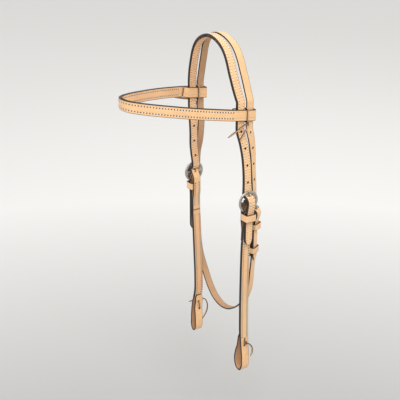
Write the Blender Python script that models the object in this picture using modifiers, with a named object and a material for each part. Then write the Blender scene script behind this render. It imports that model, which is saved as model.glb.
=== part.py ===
"""Western headstall in russet leather, buckled and hung at the poll.

The origin is the poll rest, under the middle of the crown strap. The horse faces -Y, its left (near) side
is +X, and everything hangs down in -Z. Lengths are in metres.
"""
import math

import bmesh
import bpy
import numpy as np
from mathutils import Matrix, Vector

# Leather
STRAP_WIDTH = 0.0127
STRAP_THICKNESS = 0.0030
LINING_THICKNESS = 0.0019
THROAT_WIDTH = 0.0120
THROAT_THICKNESS = 0.0024
CHEEK_WIDTH = 0.0145
CHEEK_THICKNESS = 0.0026
BAND_WIDTH = 0.0159
BAND_THICKNESS = 0.0026
BAND_LINING_THICKNESS = 0.0020
SEAM_GAP = 0.0003
TIP_LENGTH = 0.0100

# Punched holes
HOLE_RADIUS = 0.0022
HOLE_PITCH = 0.0250
THROAT_HOLE_PITCH = 0.0243
THROAT_HOLES = 6
LACE_HOLE_RADIUS = 0.0017
CUT_OVERRUN = 0.0100

# The head that it fits
LEG_SPREAD = 0.0619
ARCH_DROP = 0.0800
CROWN_Y = 0.0030
CROWN_POLL_Y = -0.0026
THROAT_POLL_Y = 0.0104
THROAT_POLL_RISE = 0.0024
CROWN_SWAY_POWER = 3
THROAT_SWAY_POWER = 0.7
STRAIGHT_DROP = 0.1180

# Cheek buckles
BUCKLE_DROP = 0.2245
BUCKLE_SPREAD = 0.0750
RIM_RADIUS = 0.0145
RIM_WIDTH = 0.0040
RIM_THICKNESS = 0.0028
BAR_RADIUS = 0.0013
TONGUE_RADIUS = 0.0010
RIM_CLEARANCE = 0.0004
BAR_CLEARANCE = 0.0003

# Throat buckle
THROAT_BUCKLE_PLACE = (0.0665, 0.0303, -0.2490)
THROAT_TWIST = math.radians(25)
THROAT_RIM_RADIUS = 0.0104
THROAT_RIM_WIDTH = 0.0020
THROAT_RIM_THICKNESS = 0.0020
THROAT_BAR_RADIUS = 0.0011
THROAT_TONGUE_RADIUS = 0.0009
THROAT_FOLD_LENGTH = 0.0700
THROAT_BILLET_LENGTH = 0.0760
THROAT_DEPTH = 0.4385
THROAT_BACK = 0.0350

# Cheeks
CHEEK_FOLD_LENGTH = 0.0625
CHEEK_LINING_LAP = 0.0040
BIT_FOLD_DROP = 0.5100
BIT_LOOP_DEPTH = 0.0150
BIT_TIP_DROP = 0.4440
BIT_TIE_DROP = 0.4520
BIT_TIE_PITCH = 0.0120

# Keepers
KEEPER_HEIGHT = 0.0115
THROAT_KEEPER_HEIGHT = 0.0100
KEEPER_THICKNESS = 0.0018
KEEPER_CLEARANCE = 0.0006
KEEPER_CORNER = 0.0007
KEEPER_RIM_GAP = 0.0010
THROAT_KEEPER_SPACING = 0.0385
THROAT_KEEPER_GAP = 0.0040

# Browband
BAND_DEPTH = 0.1480
BAND_DROP = 0.0946
BAND_SLOPE = 0.1320
BAND_TILT = 0.0440
POCKET_CLEARANCE = 0.0006
BAND_SEAM_LENGTH = 0.0080

# Laces
LACE_WIDTH = 0.0022
LACE_THICKNESS = 0.0016
LACE_CLEARANCE = 0.0003
LACE_END_WIDTH = 0.0028
KNOT_RADIUS = 0.0030
KNOT_DEPTH = 0.0022

# The angle from the outward way, in degrees, at which a tongue goes through its billet
BILLET_HOLE_ANGLE = 80

# Fineness of the curved pieces
LONG_STEP = 0.0110
LEAST_STEP_SHARE = 0.025
TURN_STEP = math.radians(11)
FINE_STEPS = 24
RING_SEGMENTS = 28
RIM_SEGMENTS = 8
HOLE_SEGMENTS = 12

# Rows of (drop, spread) from the poll to the straight stretch, as shares of ARCH_DROP and LEG_SPREAD
ARCH_SHARES = ((0.00, 0.000), (0.02, 0.178), (0.07, 0.357), (0.15, 0.514), (0.25, 0.628), (0.36, 0.706),
               (0.50, 0.775), (0.66, 0.853), (0.82, 0.924), (0.93, 0.973))
# Rows of (drop, spread, near sway, far sway) from the straight stretch to the buckle, as shares of the way
LEG_SHARES = ((0.24, 0.42, 0.50, 0.34), (0.45, 0.70, 0.84, 0.54), (0.67, 0.91, 0.97, 0.65),
              (0.84, 1.00, 1.00, 0.835))
# Rows of (spread, depth) of the browband from its middle, as shares of its half width and BAND_DEPTH
BAND_SHARES = ((0.00, 1.000), (0.146, 0.985), (0.293, 0.925), (0.418, 0.840), (0.523, 0.750),
               (0.611, 0.660), (0.695, 0.570), (0.773, 0.475), (0.842, 0.380), (0.899, 0.280),
               (0.950, 0.180), (0.988, 0.085))
# Rows of (spread, back, depth) of the throatlatch from the far side to the near one, as shares of
# LEG_SPREAD, THROAT_BACK and THROAT_DEPTH
THROAT_SHARES = ((-1.085, 0.648, 0.310), (-1.148, 0.700, 0.358), (-1.245, 0.745, 0.406),
                 (-1.385, 0.800, 0.451), (-1.420, 0.800, 0.506), (-1.428, 0.800, 0.575),
                 (-1.430, 0.815, 0.685), (-1.422, 0.860, 0.783), (-1.385, 0.970, 0.862),
                 (-1.165, 0.995, 0.920), (-0.885, 0.945, 0.964), (-0.582, 0.886, 0.990),
                 (-0.225, 0.843, 1.000), (0.131, 0.814, 0.990), (0.419, 0.800, 0.966),
                 (0.713, 0.786, 0.926), (0.902, 0.766, 0.887), (1.007, 0.766, 0.845),
                 (1.038, 0.790, 0.788))
# Rows of (drop, sway, turn) of the near throat billet from the straight stretch to its buckle
THROAT_LEG_SHARES = ((0.16, 0.36, 0.25), (0.34, 0.60, 0.70), (0.55, 0.745, 1.00), (0.74, 0.89, 1.00))
# Rows of (outward, drop) of the bit loop, as shares of BIT_LOOP_DEPTH and of the loop's height
LOOP_SHARES = ((0.00, 0.35), (0.04, 0.70), (-0.04, 0.89), (-0.34, 0.99), (-0.72, 0.96), (-0.97, 0.85),
               (-1.00, 0.70), (-0.82, 0.50), (-0.53, 0.32))
# Widths of a pointed strap end, each at its share of TIP_LENGTH
TIP_SHARES = ((0.00, 0.16), (0.10, 0.42), (0.35, 0.70), (0.70, 0.92), (1.00, 1.00))
ROUND_TIP_SHARES = ((0.00, 0.30), (0.08, 0.60), (0.25, 0.82), (0.50, 0.96), (0.80, 1.00))
# Knots of the straight stretch under the arch, as shares of its length
STRAIGHT_SHARES = (0.0, 0.125, 0.845, 1.0)
# Rows of (outward, up) of a billet over its lower rim: the share of the way out from flush with its strap,
# and the height as a share of the rim's radius
BILLET_RISE_SHARES = ((0.0, -2.80), (0.0, -2.60), (0.5, -1.65), (1.0, -1.00))
# Where the billet turns in to the bar, as shares of its radius there, and where it passes back behind the
# upper rim
BILLET_TURN_SHARES = (0.92, -0.68)
BILLET_BACK_SHARES = (0.58, 0.30)
# A strap folded round its bar: rows of (outward, down) of its outer layer, as shares of the layer's place and
# of the rim's clear height, then its turn and its inner layer's start, as shares of the fold's radius
FOLD_FRONT_SHARES = ((1.0, 1.70), (1.0, 1.25), (1.0, 1.00), (0.5, 0.74))
FOLD_TURN_SHARES = (0.45, 1.35)
FOLD_BACK_SHARES = ((0.77, 1.75), (0.97, 3.10), (1.00, 4.20))
FOLD_MIDDLE_SHARE = 0.55
THROAT_RISE_SHARE = 1.12
# Rows of (outward, up) of a tongue from the bar to the rim, as shares of its rest on the rim and of that way
TONGUE_SHARES = ((0.30, 0.35), (0.75, 0.72), (1.00, 1.00))
TONGUE_TIP_SHARE = 0.45
# The cheek's fold-back from its end up, where the cheek starts to sway and where it widens below its buckle
CHEEK_BACK_SHARES = (1.0, 0.85)
SWAY_START_SHARE = 0.18
WIDEN_SHARES = (0.50, 1.40)
# Where the inner layer ends its bulge over the keeper's back, as shares of KEEPER_HEIGHT below the keeper
TUCK_SHARES = (1.30, 0.20)
# Where the inner end leaves the bit loop, as shares of BIT_LOOP_DEPTH and of the loop's height
LOOP_LEAVE_SHARES = (0.08, 0.17)
# Rows of (outward, back, up) of each loose end from its knot, as shares of BAND_WIDTH, with its width's way
BAND_TAIL_SHARES = {
    "near": ((((0.15, -0.40, -0.05), (0.20, -1.00, -0.30), (0.20, -1.60, -0.60), (0.16, -2.15, -0.88)),
              (0.0, 0.3, 1.0)),
             (((0.12, -0.12, -0.35), (0.15, -0.38, -0.72), (0.12, -0.65, -1.10), (0.10, -0.88, -1.45)),
              (0.0, 1.0, 0.3))),
    "far": ((((0.12, -0.45, 0.02), (0.18, -1.00, 0.12), (0.20, -1.60, 0.26), (0.25, -2.15, 0.38)),
             (0.0, 0.2, 1.0)),
            (((0.12, 0.22, -0.30), (0.18, 0.50, -0.75), (0.20, 0.75, -1.25), (0.20, 0.98, -1.72)),
             (0.0, 1.0, 0.3))),
}
# The same for the bit ties, as shares of BIT_TIE_PITCH
BIT_TAIL_SHARES = {
    "near": ((((0.15, 0.50, -0.30), (0.30, 0.82, -0.90), (0.28, 0.85, -1.50), (0.15, 0.68, -2.20)),
              (1.0, 0.6, 0.0)),),
    "far": ((((0.05, 0.80, 0.15), (0.00, 1.50, 0.05), (0.00, 2.05, -0.90), (0.00, 2.00, -1.90),
              (0.00, 1.20, -3.15)), (1.0, 0.0, 0.0)),
            (((0.20, -0.40, 0.15), (0.35, -0.80, 0.00)), (0.0, 0.0, 1.0))),
}

NEAR = {
    "name": "near",
    "sign": 1,
    "buckle_y": 0.0106,
    "billet_length": 0.0670,
    "holes_above": 4,
    "holes_below": 0,
    # Rows of (drop, sway) of the cheek below the keeper, as shares of the way down and of CHEEK_WIDTH
    "sway_shares": ((0.30, -0.05), (0.48, -0.08), (0.66, -0.06), (0.78, 0.00)),
    "loop_sway_shares": (0.10, 0.17, 0.17, 0.14, 0.10, 0.06, 0.03, 0.01, 0.00),
    "tip_sway_share": 0.00,
    "tie_y": 0.0112,
    "loop_rise": 0.0,
    "tip_rise": 0.0,
}
FAR = {
    "name": "far",
    "sign": -1,
    "buckle_y": 0.0144,
    "billet_length": 0.0990,
    "holes_above": 3,
    "holes_below": 1,
    "sway_shares": ((0.30, 0.12), (0.48, 0.26), (0.66, 0.38), (0.75, 0.36)),
    "loop_sway_shares": (0.00, -0.06, -0.10, -0.14, -0.18, -0.20, -0.20, -0.10, 0.05),
    "tip_sway_share": 0.22,
    "tie_y": 0.0160,
    "loop_rise": 0.0065,
    "tip_rise": 0.0030,
}

LEATHER = (0.86, 0.62, 0.37)
INNER_LEATHER = (0.72, 0.45, 0.26)
LACE_LEATHER = (0.62, 0.36, 0.19)
METAL = (0.66, 0.62, 0.56)

# Sizes that follow from those above
STACK = STRAP_THICKNESS + SEAM_GAP + LINING_THICKNESS
STRAP_OFFSET = (LINING_THICKNESS + SEAM_GAP) / 2
LINING_OFFSET = (STRAP_THICKNESS + SEAM_GAP) / 2
RIM_HALF = RIM_THICKNESS / 2
BEHIND_RIM = RIM_HALF + RIM_CLEARANCE + STACK / 2
FOLD_RADIUS = BAR_RADIUS + BAR_CLEARANCE + CHEEK_THICKNESS / 2
FOLD_OUTER = FOLD_RADIUS + CHEEK_THICKNESS / 2
BILLET_RADIUS = FOLD_OUTER + SEAM_GAP + STACK / 2
CHEEK_OUTER = -(RIM_HALF + RIM_CLEARANCE + CHEEK_THICKNESS / 2)
CHEEK_INNER = CHEEK_OUTER - CHEEK_THICKNESS - SEAM_GAP
CHEEK_TUCKED = CHEEK_OUTER - CHEEK_THICKNESS - KEEPER_CLEARANCE - KEEPER_THICKNESS - SEAM_GAP
CHEEK_LINING_OFFSET = (CHEEK_THICKNESS + LINING_THICKNESS) / 2 + SEAM_GAP
CHEEK_LAID = CHEEK_OUTER - CHEEK_THICKNESS - LINING_THICKNESS - 2 * SEAM_GAP
BILLET_FLUSH = CHEEK_OUTER + CHEEK_THICKNESS / 2 + SEAM_GAP + STACK / 2
RIM_OUTER = RIM_RADIUS + RIM_WIDTH / 2

THROAT_RIM_HALF = THROAT_RIM_THICKNESS / 2
THROAT_BEHIND = THROAT_RIM_HALF + RIM_CLEARANCE + THROAT_THICKNESS / 2
THROAT_FOLD_RADIUS = THROAT_BAR_RADIUS + BAR_CLEARANCE + THROAT_THICKNESS / 2
THROAT_BILLET_RADIUS = THROAT_FOLD_RADIUS + THROAT_THICKNESS + SEAM_GAP
THROAT_INNER = -THROAT_BEHIND - THROAT_THICKNESS - SEAM_GAP
THROAT_FLUSH = -THROAT_BEHIND + THROAT_THICKNESS + SEAM_GAP
THROAT_RIM_OUTER = THROAT_RIM_RADIUS + THROAT_RIM_WIDTH / 2
STRAIGHT_ENDS = tuple(ARCH_DROP + share * (STRAIGHT_DROP - ARCH_DROP) for share in STRAIGHT_SHARES)

CROWN_RISE = STACK / 2
CROWN_SIDE = LEG_SPREAD + STRAP_OFFSET
LACE_GAP = LACE_WIDTH + 2 * LACE_CLEARANCE
THROAT_Y = CROWN_Y + STRAP_WIDTH / 2 + LACE_GAP + THROAT_WIDTH / 2
LACE_Y = CROWN_Y + (STRAP_WIDTH + LACE_GAP) / 2
POCKET_OUT = CROWN_SIDE + STRAP_THICKNESS / 2 + POCKET_CLEARANCE + BAND_THICKNESS / 2
POCKET_IN = LEG_SPREAD - STACK / 2 - POCKET_CLEARANCE - BAND_THICKNESS / 2
POCKET_RADIUS = (POCKET_OUT - POCKET_IN) / 2
POCKET_FRONT = CROWN_Y - STRAP_WIDTH / 2 - POCKET_CLEARANCE
POCKET_BACK = THROAT_Y + THROAT_WIDTH / 2 + POCKET_CLEARANCE - POCKET_RADIUS + BAND_THICKNESS
BAND_LINING_OFFSET = (BAND_THICKNESS + BAND_LINING_THICKNESS) / 2 + 2 * SEAM_GAP
BAND_SEAM_OFFSET = BAND_THICKNESS + SEAM_GAP

Y_AXIS = np.array((0.0, 1.0, 0.0))
Z_AXIS = np.array((0.0, 0.0, 1.0))


def unit(vector):
    return np.asarray(vector, float) / np.linalg.norm(vector)


class Route:
    """A line through points, smooth or with its corners, measured by the distance along it."""

    def __init__(self, points, smooth=True):
        knots = np.array(points, float)
        self.points = self.smoothed(knots) if smooth else knots
        steps = np.linalg.norm(np.diff(self.points, axis=0), axis=1)
        self.distances = np.concatenate(((0.0,), np.cumsum(steps)))
        self.length = self.distances[-1]

    @staticmethod
    def smoothed(knots):
        spans = np.linalg.norm(np.diff(knots, axis=0), axis=1)
        slopes = np.diff(knots, axis=0) / spans[:, None]
        before = spans[:-1, None]
        after = spans[1:, None]
        inner = (slopes[:-1] * after + slopes[1:] * before) / (before + after)
        tangents = np.vstack((slopes[:1], inner, slopes[-1:]))
        fine = []
        for i, span in enumerate(spans):
            for t in np.linspace(0, 1, FINE_STEPS, endpoint=False):
                fine.append((2 * t**3 - 3 * t**2 + 1) * knots[i] + (t**3 - 2 * t**2 + t) * span * tangents[i]
                            + (3 * t**2 - 2 * t**3) * knots[i + 1] + (t**3 - t**2) * span * tangents[i + 1])
        return np.array(fine + [knots[-1]])

    def at(self, distance):
        """The point at a distance from the start."""
        return np.array([np.interp(distance, self.distances, self.points[:, k]) for k in range(3)])

    def direction(self, distance):
        """The unit vector along the line, at a distance from the start."""
        reach = self.length / len(self.points) / 2
        low = max(distance - reach, 0)
        high = min(distance + reach, self.length)
        return unit(self.at(high) - self.at(low))

    def nearest(self, place):
        """The distance from the start of the point nearest to a place."""
        return self.distances[np.argmin(np.linalg.norm(self.points - np.array(place), axis=1))]

    def stations(self, start, end, extra=()):
        """Distances from start to end, at most LONG_STEP apart, and closer where the line bends."""
        kept = [start]
        last = self.direction(start)
        for distance in self.distances[(self.distances > start) & (self.distances < end)]:
            here = self.direction(distance)
            turn = math.acos(min(1.0, float(here @ last)))
            if distance - kept[-1] > LONG_STEP or turn > TURN_STEP:
                kept.append(distance)
                last = here
        kept += list(extra) + [end]
        kept.sort()
        least = LONG_STEP * LEAST_STEP_SHARE
        clear = [kept[0]]
        for distance in kept[1:-1]:
            if distance - clear[-1] > least and end - distance > least:
                clear.append(distance)
        return clear + [end]


def on_circle(radius, angle):
    """The point (outward, up) on a circle about the origin, at an angle in degrees from the outward way."""
    turn = math.radians(angle)
    return radius * math.cos(turn), radius * math.sin(turn)


def arc(radius, start, end, steps):
    """Points (outward, up) along a circle about the origin, between two angles."""
    return [on_circle(radius, angle) for angle in np.linspace(start, end, steps)]


def collection(name):
    found = bpy.data.collections.new(name)
    bpy.context.scene.collection.children.link(found)
    return found


def material(name, colour, roughness, metallic):
    made = bpy.data.materials.new(name)
    made.use_nodes = True
    shader = made.node_tree.nodes["Principled BSDF"]
    shader.inputs["Base Color"].default_value = (*colour, 1.0)
    shader.inputs["Roughness"].default_value = roughness
    shader.inputs["Metallic"].default_value = metallic
    return made


def add(name, data, group, finish=None):
    """A named object in a collection."""
    made = bpy.data.objects.new(name, data)
    group.objects.link(made)
    if finish:
        data.materials.append(finish)
    if group is CUTTERS:
        made.hide_render = True
        made.display_type = "WIRE"
    return made


def boolean(target, operand, operation):
    step = target.modifiers.new(operation.title(), "BOOLEAN")
    step.operation = operation
    step.object = operand


def frame_at(route, distance, across):
    """The point, the width direction and the inward direction of a strap at a distance."""
    along = route.direction(distance)
    wanted = np.array(across(distance) if callable(across) else across, float)
    width = unit(wanted - (wanted @ along) * along)
    return route.at(distance), width, np.cross(along, width)


def width_share(distance, start, end, start_tip, end_tip):
    """How wide a strap is at a distance, where its ends narrow to their tips."""
    share = 1.0
    for shares, from_end in ((start_tip, distance - start), (end_tip, end - distance)):
        if shares:
            rows = np.array(shares)
            share = min(share, np.interp(from_end, rows[:, 0] * TIP_LENGTH, rows[:, 1]))
    return share


def ribbon(name, route, width, thickness, across, group, finish=None, start=0.0, end=None, offset=0.0,
           start_tip=(), end_tip=(), profile=None):
    """A strap: a strip laid along a route and thickened to both sides."""
    end = route.length if end is None else end
    extra = [start + share * TIP_LENGTH for share, _ in start_tip]
    extra += [end - share * TIP_LENGTH for share, _ in end_tip]
    places = route.stations(start, end, extra)
    strip = bmesh.new()
    bmesh.ops.create_grid(strip, x_segments=len(places) - 1, y_segments=1, size=1)
    for vertex in strip.verts:
        row = round((vertex.co.x + 1) / 2 * (len(places) - 1))
        distance = places[row]
        point, side, inward = frame_at(route, distance, across)
        half = width / 2 * width_share(distance, start, end, start_tip, end_tip)
        if profile:
            half *= profile(distance)
        vertex.co = point + side * half * vertex.co.y + inward * offset
    data = bpy.data.meshes.new(name)
    strip.to_mesh(data)
    strip.free()
    made = add(name, data, group, finish)
    shell = made.modifiers.new("Thickness", "SOLIDIFY")
    shell.thickness = thickness
    shell.offset = 0
    shell.use_even_offset = True
    return made


def punch(name, route, distances, across, radius, depth):
    """Round cutters through a strap, one at each distance."""
    data = bpy.data.meshes.new(name)
    holes = bmesh.new()
    for distance in distances:
        point, side, inward = frame_at(route, distance, across)
        turn = Vector(inward).to_track_quat("Z", "Y").to_matrix().to_4x4()
        bmesh.ops.create_cone(holes, cap_ends=True, segments=HOLE_SEGMENTS, radius1=radius, radius2=radius,
                              depth=depth, matrix=Matrix.Translation(point) @ turn)
    holes.to_mesh(data)
    holes.free()
    return add(name, data, CUTTERS)


def box(name, low, high, group, turn=0.0, place=(0.0, 0.0, 0.0)):
    """A box between two corners, turned about Z and moved to a place."""
    data = bpy.data.meshes.new(name)
    solid = bmesh.new()
    size = np.subtract(high, low)
    centre = Matrix.Translation(np.add(high, low) / 2)
    bmesh.ops.create_cube(solid, size=1, matrix=centre @ Matrix.Diagonal((*size, 1)))
    solid.to_mesh(data)
    solid.free()
    made = add(name, data, group)
    made.location = place
    made.rotation_euler = (0, 0, turn)
    return made


class Buckle:
    """Where a buckle stands: its bar's centre, its outward direction and the way along its bar."""

    def __init__(self, place, outward_turn):
        self.place = np.array(place, float)
        self.turn = outward_turn
        self.outward = np.array((math.cos(outward_turn), math.sin(outward_turn), 0.0))
        self.along = np.array((-math.sin(outward_turn), math.cos(outward_turn), 0.0))

    def point(self, outward, up):
        return self.place + self.outward * outward + Z_AXIS * up


def buckle_frame(name, buckle, radius, width, thickness, bar_radius):
    """A round rim with a bar across its middle."""
    bpy.ops.mesh.primitive_torus_add(major_radius=radius, minor_radius=width / 2,
                                     major_segments=RING_SEGMENTS, minor_segments=RIM_SEGMENTS)
    torus = bpy.context.object
    data = torus.data
    data.name = name
    bpy.data.objects.remove(torus)
    data.transform(Matrix.Rotation(math.pi / 2, 4, "Y") @ Matrix.Diagonal((1, 1, thickness / width, 1)))
    data.shade_smooth()
    rim = add(name, data, PARTS, METAL_FINISH)
    bar_data = bpy.data.meshes.new(name + "_bar")
    bar = bmesh.new()
    bmesh.ops.create_cone(bar, cap_ends=True, segments=HOLE_SEGMENTS, radius1=bar_radius,
                          radius2=bar_radius, depth=2 * radius, matrix=Matrix.Rotation(math.pi / 2, 4, "X"))
    bar.to_mesh(bar_data)
    bar.free()
    bar_object = add(name + "_bar", bar_data, CUTTERS)
    for made in (rim, bar_object):
        made.location = buckle.place
        made.rotation_euler = (0, 0, buckle.turn)
    boolean(rim, bar_object, "UNION")
    return rim


def tongue(name, buckle, bar_radius, tongue_radius, rim_radius, rim_half, rim_width):
    """A wire bent round the bar, through the billet and over the rim, with its origin on the bar."""
    ring = bar_radius + BAR_CLEARANCE + tongue_radius
    rest = rim_half + BAR_CLEARANCE + tongue_radius
    points = arc(ring, 300, 90, 12)
    for out, up in TONGUE_SHARES:
        points.append((rest * out, ring + (rim_radius - ring) * up))
    points.append((rest, rim_radius + rim_width * TONGUE_TIP_SHARE))
    curve = bpy.data.curves.new(name, "CURVE")
    curve.dimensions = "3D"
    curve.bevel_depth = tongue_radius
    curve.bevel_resolution = 2
    curve.use_fill_caps = True
    spline = curve.splines.new("POLY")
    spline.points.add(len(points) - 1)
    for target, (outward, up) in zip(spline.points, points):
        target.co = (outward, 0.0, up, 1.0)
    made = add(name, curve, PARTS, METAL_FINISH)
    made.location = buckle.place
    made.rotation_euler = (0, 0, buckle.turn)
    return made


def rounded_outline(low, high, corner):
    """Points round a rectangle with round corners."""
    points = []
    for k, (x, y) in enumerate(((high[0], high[1]), (low[0], high[1]), (low[0], low[1]), (high[0], low[1]))):
        centre_x = x - corner if x == high[0] else x + corner
        centre_y = y - corner if y == high[1] else y + corner
        for dx, dy in arc(corner, 90 * k, 90 * k + 90, 4):
            points.append((centre_x + dx, centre_y + dy))
    return points


def keeper(name, buckle, low, high, half_width, top, height):
    """A leather loop round a stack that lies between low and high, outward of the bar."""
    inner_low = (low - KEEPER_CLEARANCE, -half_width - KEEPER_CLEARANCE)
    inner_high = (high + KEEPER_CLEARANCE, half_width + KEEPER_CLEARANCE)
    outer_low = [value - KEEPER_THICKNESS for value in inner_low]
    outer_high = [value + KEEPER_THICKNESS for value in inner_high]
    curve = bpy.data.curves.new(name, "CURVE")
    curve.dimensions = "2D"
    curve.fill_mode = "BOTH"
    curve.extrude = height / 2
    for outline in (rounded_outline(outer_low, outer_high, KEEPER_CORNER + KEEPER_THICKNESS),
                    rounded_outline(inner_low, inner_high, KEEPER_CORNER)):
        spline = curve.splines.new("POLY")
        spline.use_cyclic_u = True
        spline.points.add(len(outline) - 1)
        for target, (x, y) in zip(spline.points, outline):
            target.co = (x, y, 0.0, 1.0)
    made = add(name, curve, PARTS, LEATHER_FINISH)
    made.location = buckle.point(0, top - height / 2)
    made.rotation_euler = (0, 0, buckle.turn)
    return made


def rim_clear(radius, width, strap_width):
    """How far from the bar the inside of a rim lies, at the edge of a strap."""
    return math.sqrt(radius**2 - (strap_width / 2) ** 2) - width / 2


def billet_points(buckle, length, flush, behind, radius, rim, clear, rim_outer):
    """A billet from its tip, over the lower rim, round the bar's fold and back behind the upper rim."""
    seated = BILLET_RISE_SHARES[0][1] * rim
    local = [(flush, -length), (flush, (seated - length) / 2)]
    for out, up in BILLET_RISE_SHARES:
        local.append((flush + (behind - flush) * out, up * rim))
    local.append((radius * BILLET_TURN_SHARES[0], radius * BILLET_TURN_SHARES[1]))
    local += arc(radius, 0, BILLET_HOLE_ANGLE, 6)
    local.append((-behind * BILLET_BACK_SHARES[0], radius + (clear - radius) * BILLET_BACK_SHARES[1]))
    local += [(-behind, clear), (-behind, rim_outer)]
    return [buckle.point(outward, up) for outward, up in local]


def leg_points(side, buckle):
    """The crown's doubled billet from its tip up to the straight stretch, outward of the head."""
    clear = rim_clear(RIM_RADIUS, RIM_WIDTH, STRAP_WIDTH)
    points = billet_points(buckle, side["billet_length"], BILLET_FLUSH, BEHIND_RIM, BILLET_RADIUS,
                           RIM_RADIUS, clear, RIM_OUTER)
    way = BUCKLE_DROP - RIM_OUTER - STRAIGHT_DROP
    top = BUCKLE_SPREAD - BEHIND_RIM - LEG_SPREAD
    column = 2 if side is NEAR else 3
    for row in reversed(LEG_SHARES):
        points.append((side["sign"] * (LEG_SPREAD + row[1] * top),
                       CROWN_Y + row[column] * (side["buckle_y"] - CROWN_Y),
                       -STRAIGHT_DROP - row[0] * way))
    for drop in reversed(STRAIGHT_ENDS):
        points.append((side["sign"] * LEG_SPREAD, CROWN_Y, -drop))
    return points


def arch_points(rise, poll_y, leg_y, power, spread):
    """A strap over the poll, from the near straight stretch to the far one."""
    half = []
    for drop, out in ARCH_SHARES:
        back = poll_y + (leg_y - poll_y) * drop**power
        half.append((out * spread, back, rise * (1 - drop) - drop * ARCH_DROP))
    near = [half[k] for k in range(len(half) - 1, 0, -1)]
    far = [(-x, y, z) for x, y, z in half]
    return near + far


def make_crown():
    """The crown strap, its lining and the holes punched through both."""
    near_points = leg_points(NEAR, BUCKLES["near"])
    far_points = leg_points(FAR, BUCKLES["far"])
    over = arch_points(CROWN_RISE, CROWN_POLL_Y, CROWN_Y, CROWN_SWAY_POWER, LEG_SPREAD)
    route = Route(near_points + over + far_points[::-1])
    pierced = on_circle(BILLET_RADIUS, BILLET_HOLE_ANGLE)
    holes = []
    for side in (NEAR, FAR):
        first = route.nearest(BUCKLES[side["name"]].point(*pierced))
        for k in range(-side["holes_below"], side["holes_above"] + 1):
            holes.append(first + side["sign"] * k * HOLE_PITCH)
    cutter = punch("crown_holes", route, holes, Y_AXIS, HOLE_RADIUS, 2 * CUT_OVERRUN)
    strap = ribbon("crown_strap", route, STRAP_WIDTH, STRAP_THICKNESS, Y_AXIS, PARTS, LEATHER_FINISH,
                   offset=-STRAP_OFFSET, start_tip=TIP_SHARES, end_tip=TIP_SHARES)
    boolean(strap, cutter, "DIFFERENCE")
    lining = ribbon("crown_lining", route, STRAP_WIDTH, LINING_THICKNESS, Y_AXIS, PARTS, INNER_FINISH,
                    offset=LINING_OFFSET, start_tip=TIP_SHARES, end_tip=TIP_SHARES)
    boolean(lining, cutter, "DIFFERENCE")


def throat_billet_points():
    """The near throat billet from its tip up to the straight stretch."""
    clear = rim_clear(THROAT_RIM_RADIUS, THROAT_RIM_WIDTH, THROAT_WIDTH)
    points = billet_points(THROAT_BUCKLE, THROAT_BILLET_LENGTH, THROAT_FLUSH, THROAT_BEHIND,
                           THROAT_BILLET_RADIUS, THROAT_RIM_RADIUS, clear, THROAT_RIM_OUTER)
    foot = np.array(points[-1])
    top = np.array((CROWN_SIDE, THROAT_Y, -STRAIGHT_DROP))
    for drop, sway, _ in reversed(THROAT_LEG_SHARES):
        place = top + (foot - top) * sway
        place[2] = top[2] + (foot[2] - top[2]) * drop
        points.append(tuple(place))
    return points


def throat_twist(route):
    """The throatlatch's width direction, which turns with its buckle on the near side."""
    start = route.nearest((CROWN_SIDE, THROAT_Y, -STRAIGHT_DROP))
    low = THROAT_BUCKLE.place[2] + THROAT_RIM_OUTER
    rows = [(start, 0.0)]
    for drop, _, turn in THROAT_LEG_SHARES:
        rows.append((start - drop * (-STRAIGHT_DROP - low), turn))
    rows.reverse()
    jaw = route.nearest((0.0, THROAT_BACK, -THROAT_DEPTH))
    back = route.nearest(THROAT_BUCKLE.point(-THROAT_BEHIND, -THROAT_FOLD_LENGTH))
    rows += [(jaw, 0.0), (back, 1.0)]
    distances, turns = np.array(rows).T

    def across(distance):
        twist = THROAT_TWIST * np.interp(distance, distances, turns)
        return np.array((-math.sin(twist), math.cos(twist), 0.0))

    return across


def fold_points(radius, outer, inner, down, clear):
    """A strap end up its outer layer, over the bar and down its inner layer."""
    half_way = -down * FOLD_MIDDLE_SHARE
    front = [(outer, half_way)]
    front += [(outer * out, -clear * up) for out, up in FOLD_FRONT_SHARES]
    front.append((radius * FOLD_TURN_SHARES[0], -radius * FOLD_TURN_SHARES[1]))
    back = [(inner * out, -radius * up) for out, up in FOLD_BACK_SHARES]
    back += [(inner, -clear * FOLD_FRONT_SHARES[0][1]), (inner, half_way), (inner, -down)]
    return front + arc(radius, 0, 180, 9) + back


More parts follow.
